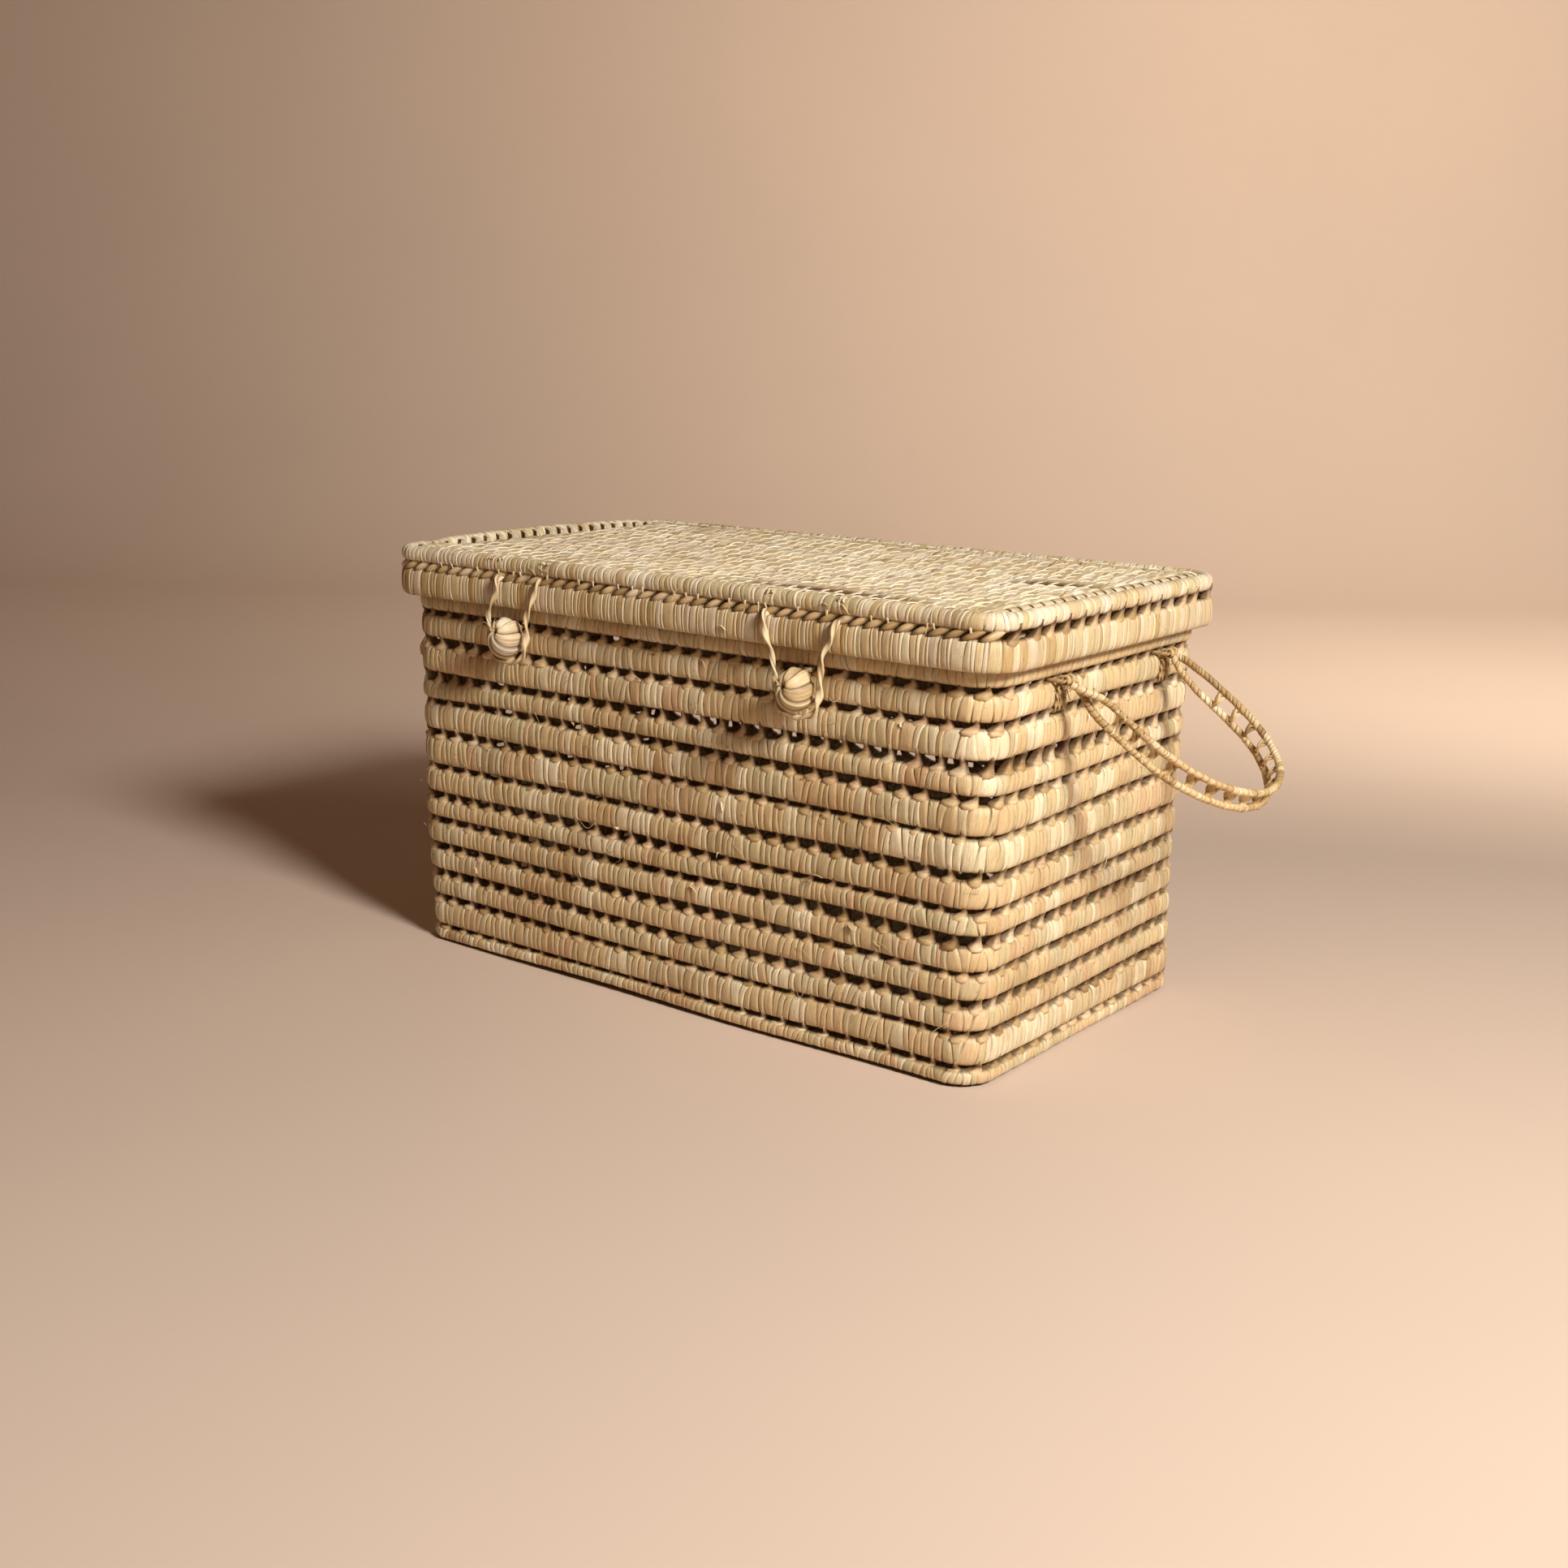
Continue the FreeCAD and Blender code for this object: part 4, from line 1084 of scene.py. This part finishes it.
def end_handle(name, side):
    """Two wrapped strands held apart by crossing stitches, like a ladder plait."""
    place = handle_frame(name, side)
    foot_shift = STRAND_THICK / 2 + 0.4
    pieces = (
        ("upper_strand", STRAND_APART / 2, HANDLE_HALF + foot_shift),
        ("lower_strand", -STRAND_APART / 2, HANDLE_HALF - foot_shift),
    )
    for label, lift, foot in pieces:
        node = f"handle_{name}_{label}"
        work = Leafwork()
        wrapped_strand(work, place(grip_line(lift, foot)), STRAND_THICK, 3.6, 1.5)
        for end in (-1, 1):
            turned_eye(work, end * foot, 2.6, place)
        work.piece(f"wrapped_{node}", f"handle_{name}", "cord_leaf", [node])

    line, distance = even_line(grip_line(0.0, HANDLE_HALF), 0.5)

    def along(s):
        """The place on the handle's middle line at that distance."""
        return np.array([np.interp(s, distance, line[:, i]) for i in range(3)])

    work = Leafwork()
    for s in np.arange(LEG_RUN + 4.0, distance[-1] - LEG_RUN - 3.0, LACING_STEP):
        spot = s + chance.uniform(-0.8, 0.8)
        tone = chance.beta(2.5, 2)
        cross_stitch(work, place, along, spot - 4.0, spot + 3.0, 6.0, tone)
        cross_stitch(work, place, along, spot + 4.2, spot - 2.8, 5.2, 0.8 * tone)
    work.piece(f"laced_handle_{name}", f"handle_{name}", "cord_leaf", [f"handle_{name}_lacing"])
    for end, way in (("front", -1), ("back", 1)):
        lashing(name, end, side)


def lashing(name, end, side):
    """Dark frayed cord: a turn through the open row, which holds the strands, and four turns
    round the coil under it."""
    node = f"handle_{name}_lashing_{end}"
    low, high = limits(node)
    y, z = (low[1] + high[1]) / 2, TIE_LEVEL
    inner, outer = sorted((abs(low[0]), abs(high[0])))
    inner, outer = inner + CORD_THICK / 2, outer - CORD_THICK / 2
    half = STAPLE_HALF
    work = Leafwork()
    ring = [(inner, -half + 2), (outer - 2, -half), (outer, -half + 2), (outer, half - 2)]
    ring += [(outer - 2, half), (inner + 2, half), (inner, half - 2)]
    line = np.array([(side * x, y + dy, z) for x, dy in ring])
    twisted_cord(work, line, 3.1, 2.7, 9.0, closed=True, tone=0.25)
    coil_low, coil_high = limits(row_name(TIE_ROW - 1))
    middle, tall = (coil_low[2] + coil_high[2]) / 2, (coil_high[2] - coil_low[2]) / 2
    face, away = coil_high[0] - WALL_THICK / 2, WALL_THICK / 2 + 0.9
    turn = np.linspace(0, 2 * math.pi, 28, endpoint=False)
    for i, shift in enumerate((-3.6, -1.2, 1.4, 3.8)):
        line = np.column_stack(
            [
                side * (face + away * np.sign(np.cos(turn)) * abs(np.cos(turn)) ** 0.7),
                y + shift + 1.3 * np.sin(turn) * (-1) ** i,
                middle + (tall + 1.3) * np.sign(np.sin(turn)) * abs(np.sin(turn)) ** 0.7,
            ]
        )
        twisted_cord(work, line, 2.8, 1.6, 11.0, closed=True, tone=chance.uniform(0.02, 0.35))
    for _ in range(14):
        start = (side * (outer - 3.5), y + chance.uniform(-6, 6), z + chance.uniform(-8, 2))
        reach = (side * chance.uniform(0.5, 2), chance.uniform(-7, 7), chance.uniform(-9, 3))
        end = np.add(start, reach)
        tuft(work, np.array(start), end, chance.uniform(0.8, 1.8), chance.uniform(0.0, 0.4))
    work.piece(f"lashed_{node}", "basket", "cord_leaf", [node])


def tuft(work, start, end, wide, tone, bow=1.5):
    """One loose end of leaf: a thin strip that bends and tapers to nothing."""
    share = np.linspace(0.0, 1.0, 7)
    droop = np.array((0.0, 0.0, -1.0)) * (bow * np.sin(math.pi * share))[:, None]
    middle = start + (end - start) * share[:, None] + droop
    lying_strip(work, middle, (0.3, 0.2, 0.93), wide * (1.02 - share), 0.3, tone)


# ---------------------------------------------------------------- hinge ties
def hinge_turn(name, x, inner, outer, level, top):
    """A tie's turn of cord, through the wall's open row and out to the hinge line."""
    half = STAPLE_HALF
    knee = limits(row_name(TIE_ROW))[1][1] + 2.5
    line = [(x - half, inner, level), (x + half, inner, level), (x + half, knee, level)]
    line += [(x + half, outer, top), (x - half, outer, top), (x - half, knee, level)]
    work = Leafwork()
    twisted_cord(work, rounded(np.array(line), 2.2), 3.2, 2.6, 9.0, closed=True, tone=0.3)
    work.piece(f"twisted_{name}", "basket", "cord_leaf", [name])


def hinge_band(name, x, outer, top):
    """A tie's three strips of leaf round the lid's lowest coil, and its turns about the cord."""
    low, high = limits("lid_rim_coil")
    inside, outside = high[1] - SKIRT_THICK - 0.2, high[1]
    work = Leafwork()
    for i in range(3):
        shift = x + (i - 1) * 2.5
        line = [
            (shift, inside, low[2] - 0.2), (shift, outside + 0.7, low[2] - 0.2),
            (shift + 0.5, outside + 0.8, high[2] + 0.6), (shift + 0.5, inside, high[2] + 0.6),
        ]
        strip = rounded(np.array(line), 1.4)
        twisted_cord(work, strip, 1.2, 2.4, 1e6, closed=True, tone=0.35 + 0.15 * i)
    turn = np.linspace(0, 6 * math.pi, 60)
    slide = x - 3.0 + 6.0 * turn / turn[-1]
    eye = np.column_stack([slide, outer + 2.7 * np.cos(turn), top + 2.7 * np.sin(turn)])
    twisted_cord(work, eye, 2.2, 1.4, 12.0, tone=0.45, step=1.0)
    work.piece(f"banded_{name}", "lid", "cord_leaf", [name])


def hinge_ties():
    """The lid hangs on two ties at the back, each a cord turn and a leaf band about one line."""
    for side in ("left", "right"):
        node = f"hinge_tie_{side}_basket"
        low, high = limits(node)
        x, r = (low[0] + high[0]) / 2, CORD_THICK / 2
        hinge_turn(node, x, low[1] + r, high[1] - r, low[2] + r, high[2] - r)
        hinge_band(f"hinge_tie_{side}_lid", x, high[1] - r, high[2] - r)


def rounded(points, reach):
    """A closed outline with its corners cut twice, so that it turns in small steps."""
    for size in (reach, reach * 0.4):
        cut = []
        for i in range(len(points)):
            here = points[i]
            for other in (points[i - 1], points[(i + 1) % len(points)]):
                way = other - here
                away = np.linalg.norm(way)
                cut.append(here + way * min(size / away, 0.3))
        points = np.array(cut)
    return points


basket_wall()
base_field()
lid_rim()
lid_top()
closures()
end_handle("right", 1)
end_handle("left", -1)
hinge_ties()


# ---------------------------------------------------------------- stage, lights and camera
def backdrop():
    """One sheet of paper: a floor that turns up into a wall far behind the basket."""
    back, bend = 1.9, 0.9
    profile = [(-4.0, 0.0), (back, 0.0)]
    for i in range(1, 13):
        angle = math.pi / 2 * i / 12
        profile.append((back + bend * math.sin(angle), bend * (1 - math.cos(angle))))
    profile.append((back + bend, 5.0))
    turn = Matrix.Rotation(math.radians(CAMERA_TURN), 3, "Z")
    points, faces = [], []
    for y, z in profile:
        for x in (-6.0, 6.0):
            points.append(turn @ Vector((x, y, z)))
    for i in range(len(profile) - 1):
        faces.append((2 * i, 2 * i + 1, 2 * i + 3, 2 * i + 2))
    mesh = bpy.data.meshes.new("backdrop")
    mesh.from_pydata(points, [], faces)
    mesh.polygons.foreach_set("use_smooth", [True] * len(mesh.polygons))
    sheet = bpy.data.objects.new("backdrop", mesh)
    sheet.data.materials.append(paper_material((0.66, 0.51, 0.395)))
    bpy.context.scene.collection.objects.link(sheet)


def soft_light(name, place, aim, size, power, colour):
    """A round soft light, in metres and watts, that faces its aim."""
    light = bpy.data.lights.new(name, "AREA")
    light.shape = "DISK"
    light.size, light.energy, light.color = size, power, colour
    lamp = bpy.data.objects.new(name, light)
    lamp.location = place
    lamp.rotation_euler = (Vector(aim) - Vector(place)).to_track_quat("-Z", "Y").to_euler()
    bpy.context.scene.collection.objects.link(lamp)


def studio():
    """A key from the right, a wash on the paper behind, and a weak warm fill."""
    world = bpy.data.worlds.new("studio")
    world.use_nodes = True
    world.node_tree.nodes["Background"].inputs["Color"].default_value = (1.0, 0.50, 0.25, 1)
    world.node_tree.nodes["Background"].inputs["Strength"].default_value = 0.06
    bpy.context.scene.world = world
    soft_light("key", (1.72, -0.60, 1.34), (0.0, 0.1, 0.12), 0.5, 60.0, (1.0, 0.985, 0.965))
    soft_light("wash", (0.40, 1.35, 1.40), (-0.05, 2.15, 1.00), 2.0, 37.0, (1.0, 0.92, 0.82))
    soft_light("fill", (0.6, -3.0, 1.6), (0.0, 0.0, 0.1), 2.5, 3.0, (1.0, 0.60, 0.30))
    bpy.context.scene.view_settings.view_transform = "Standard"


def camera():
    """Looks at the basket from its front right, a little from above."""
    turn, rise, roll = (math.radians(a) for a in (CAMERA_TURN, CAMERA_RISE, CAMERA_ROLL))
    back = Vector((math.sin(turn) * math.cos(rise), -math.cos(turn) * math.cos(rise), math.sin(rise)))
    right = (-back).cross(Vector((0, 0, 1))).normalized()
    up = right.cross(-back)
    tilted_right = math.cos(roll) * right + math.sin(roll) * up
    tilted_up = -math.sin(roll) * right + math.cos(roll) * up
    lens = bpy.data.cameras.new("camera")
    lens.lens = CAMERA_LENS
    lens.sensor_width = 36.0
    eye = bpy.data.objects.new("camera", lens)
    axes = Matrix((tilted_right, tilted_up, back)).transposed()
    eye.matrix_world = Matrix.Translation(CAMERA_AIM + back * CAMERA_AWAY) @ axes.to_4x4()
    bpy.context.scene.collection.objects.link(eye)
    bpy.context.scene.camera = eye


camera()
backdrop()
studio()
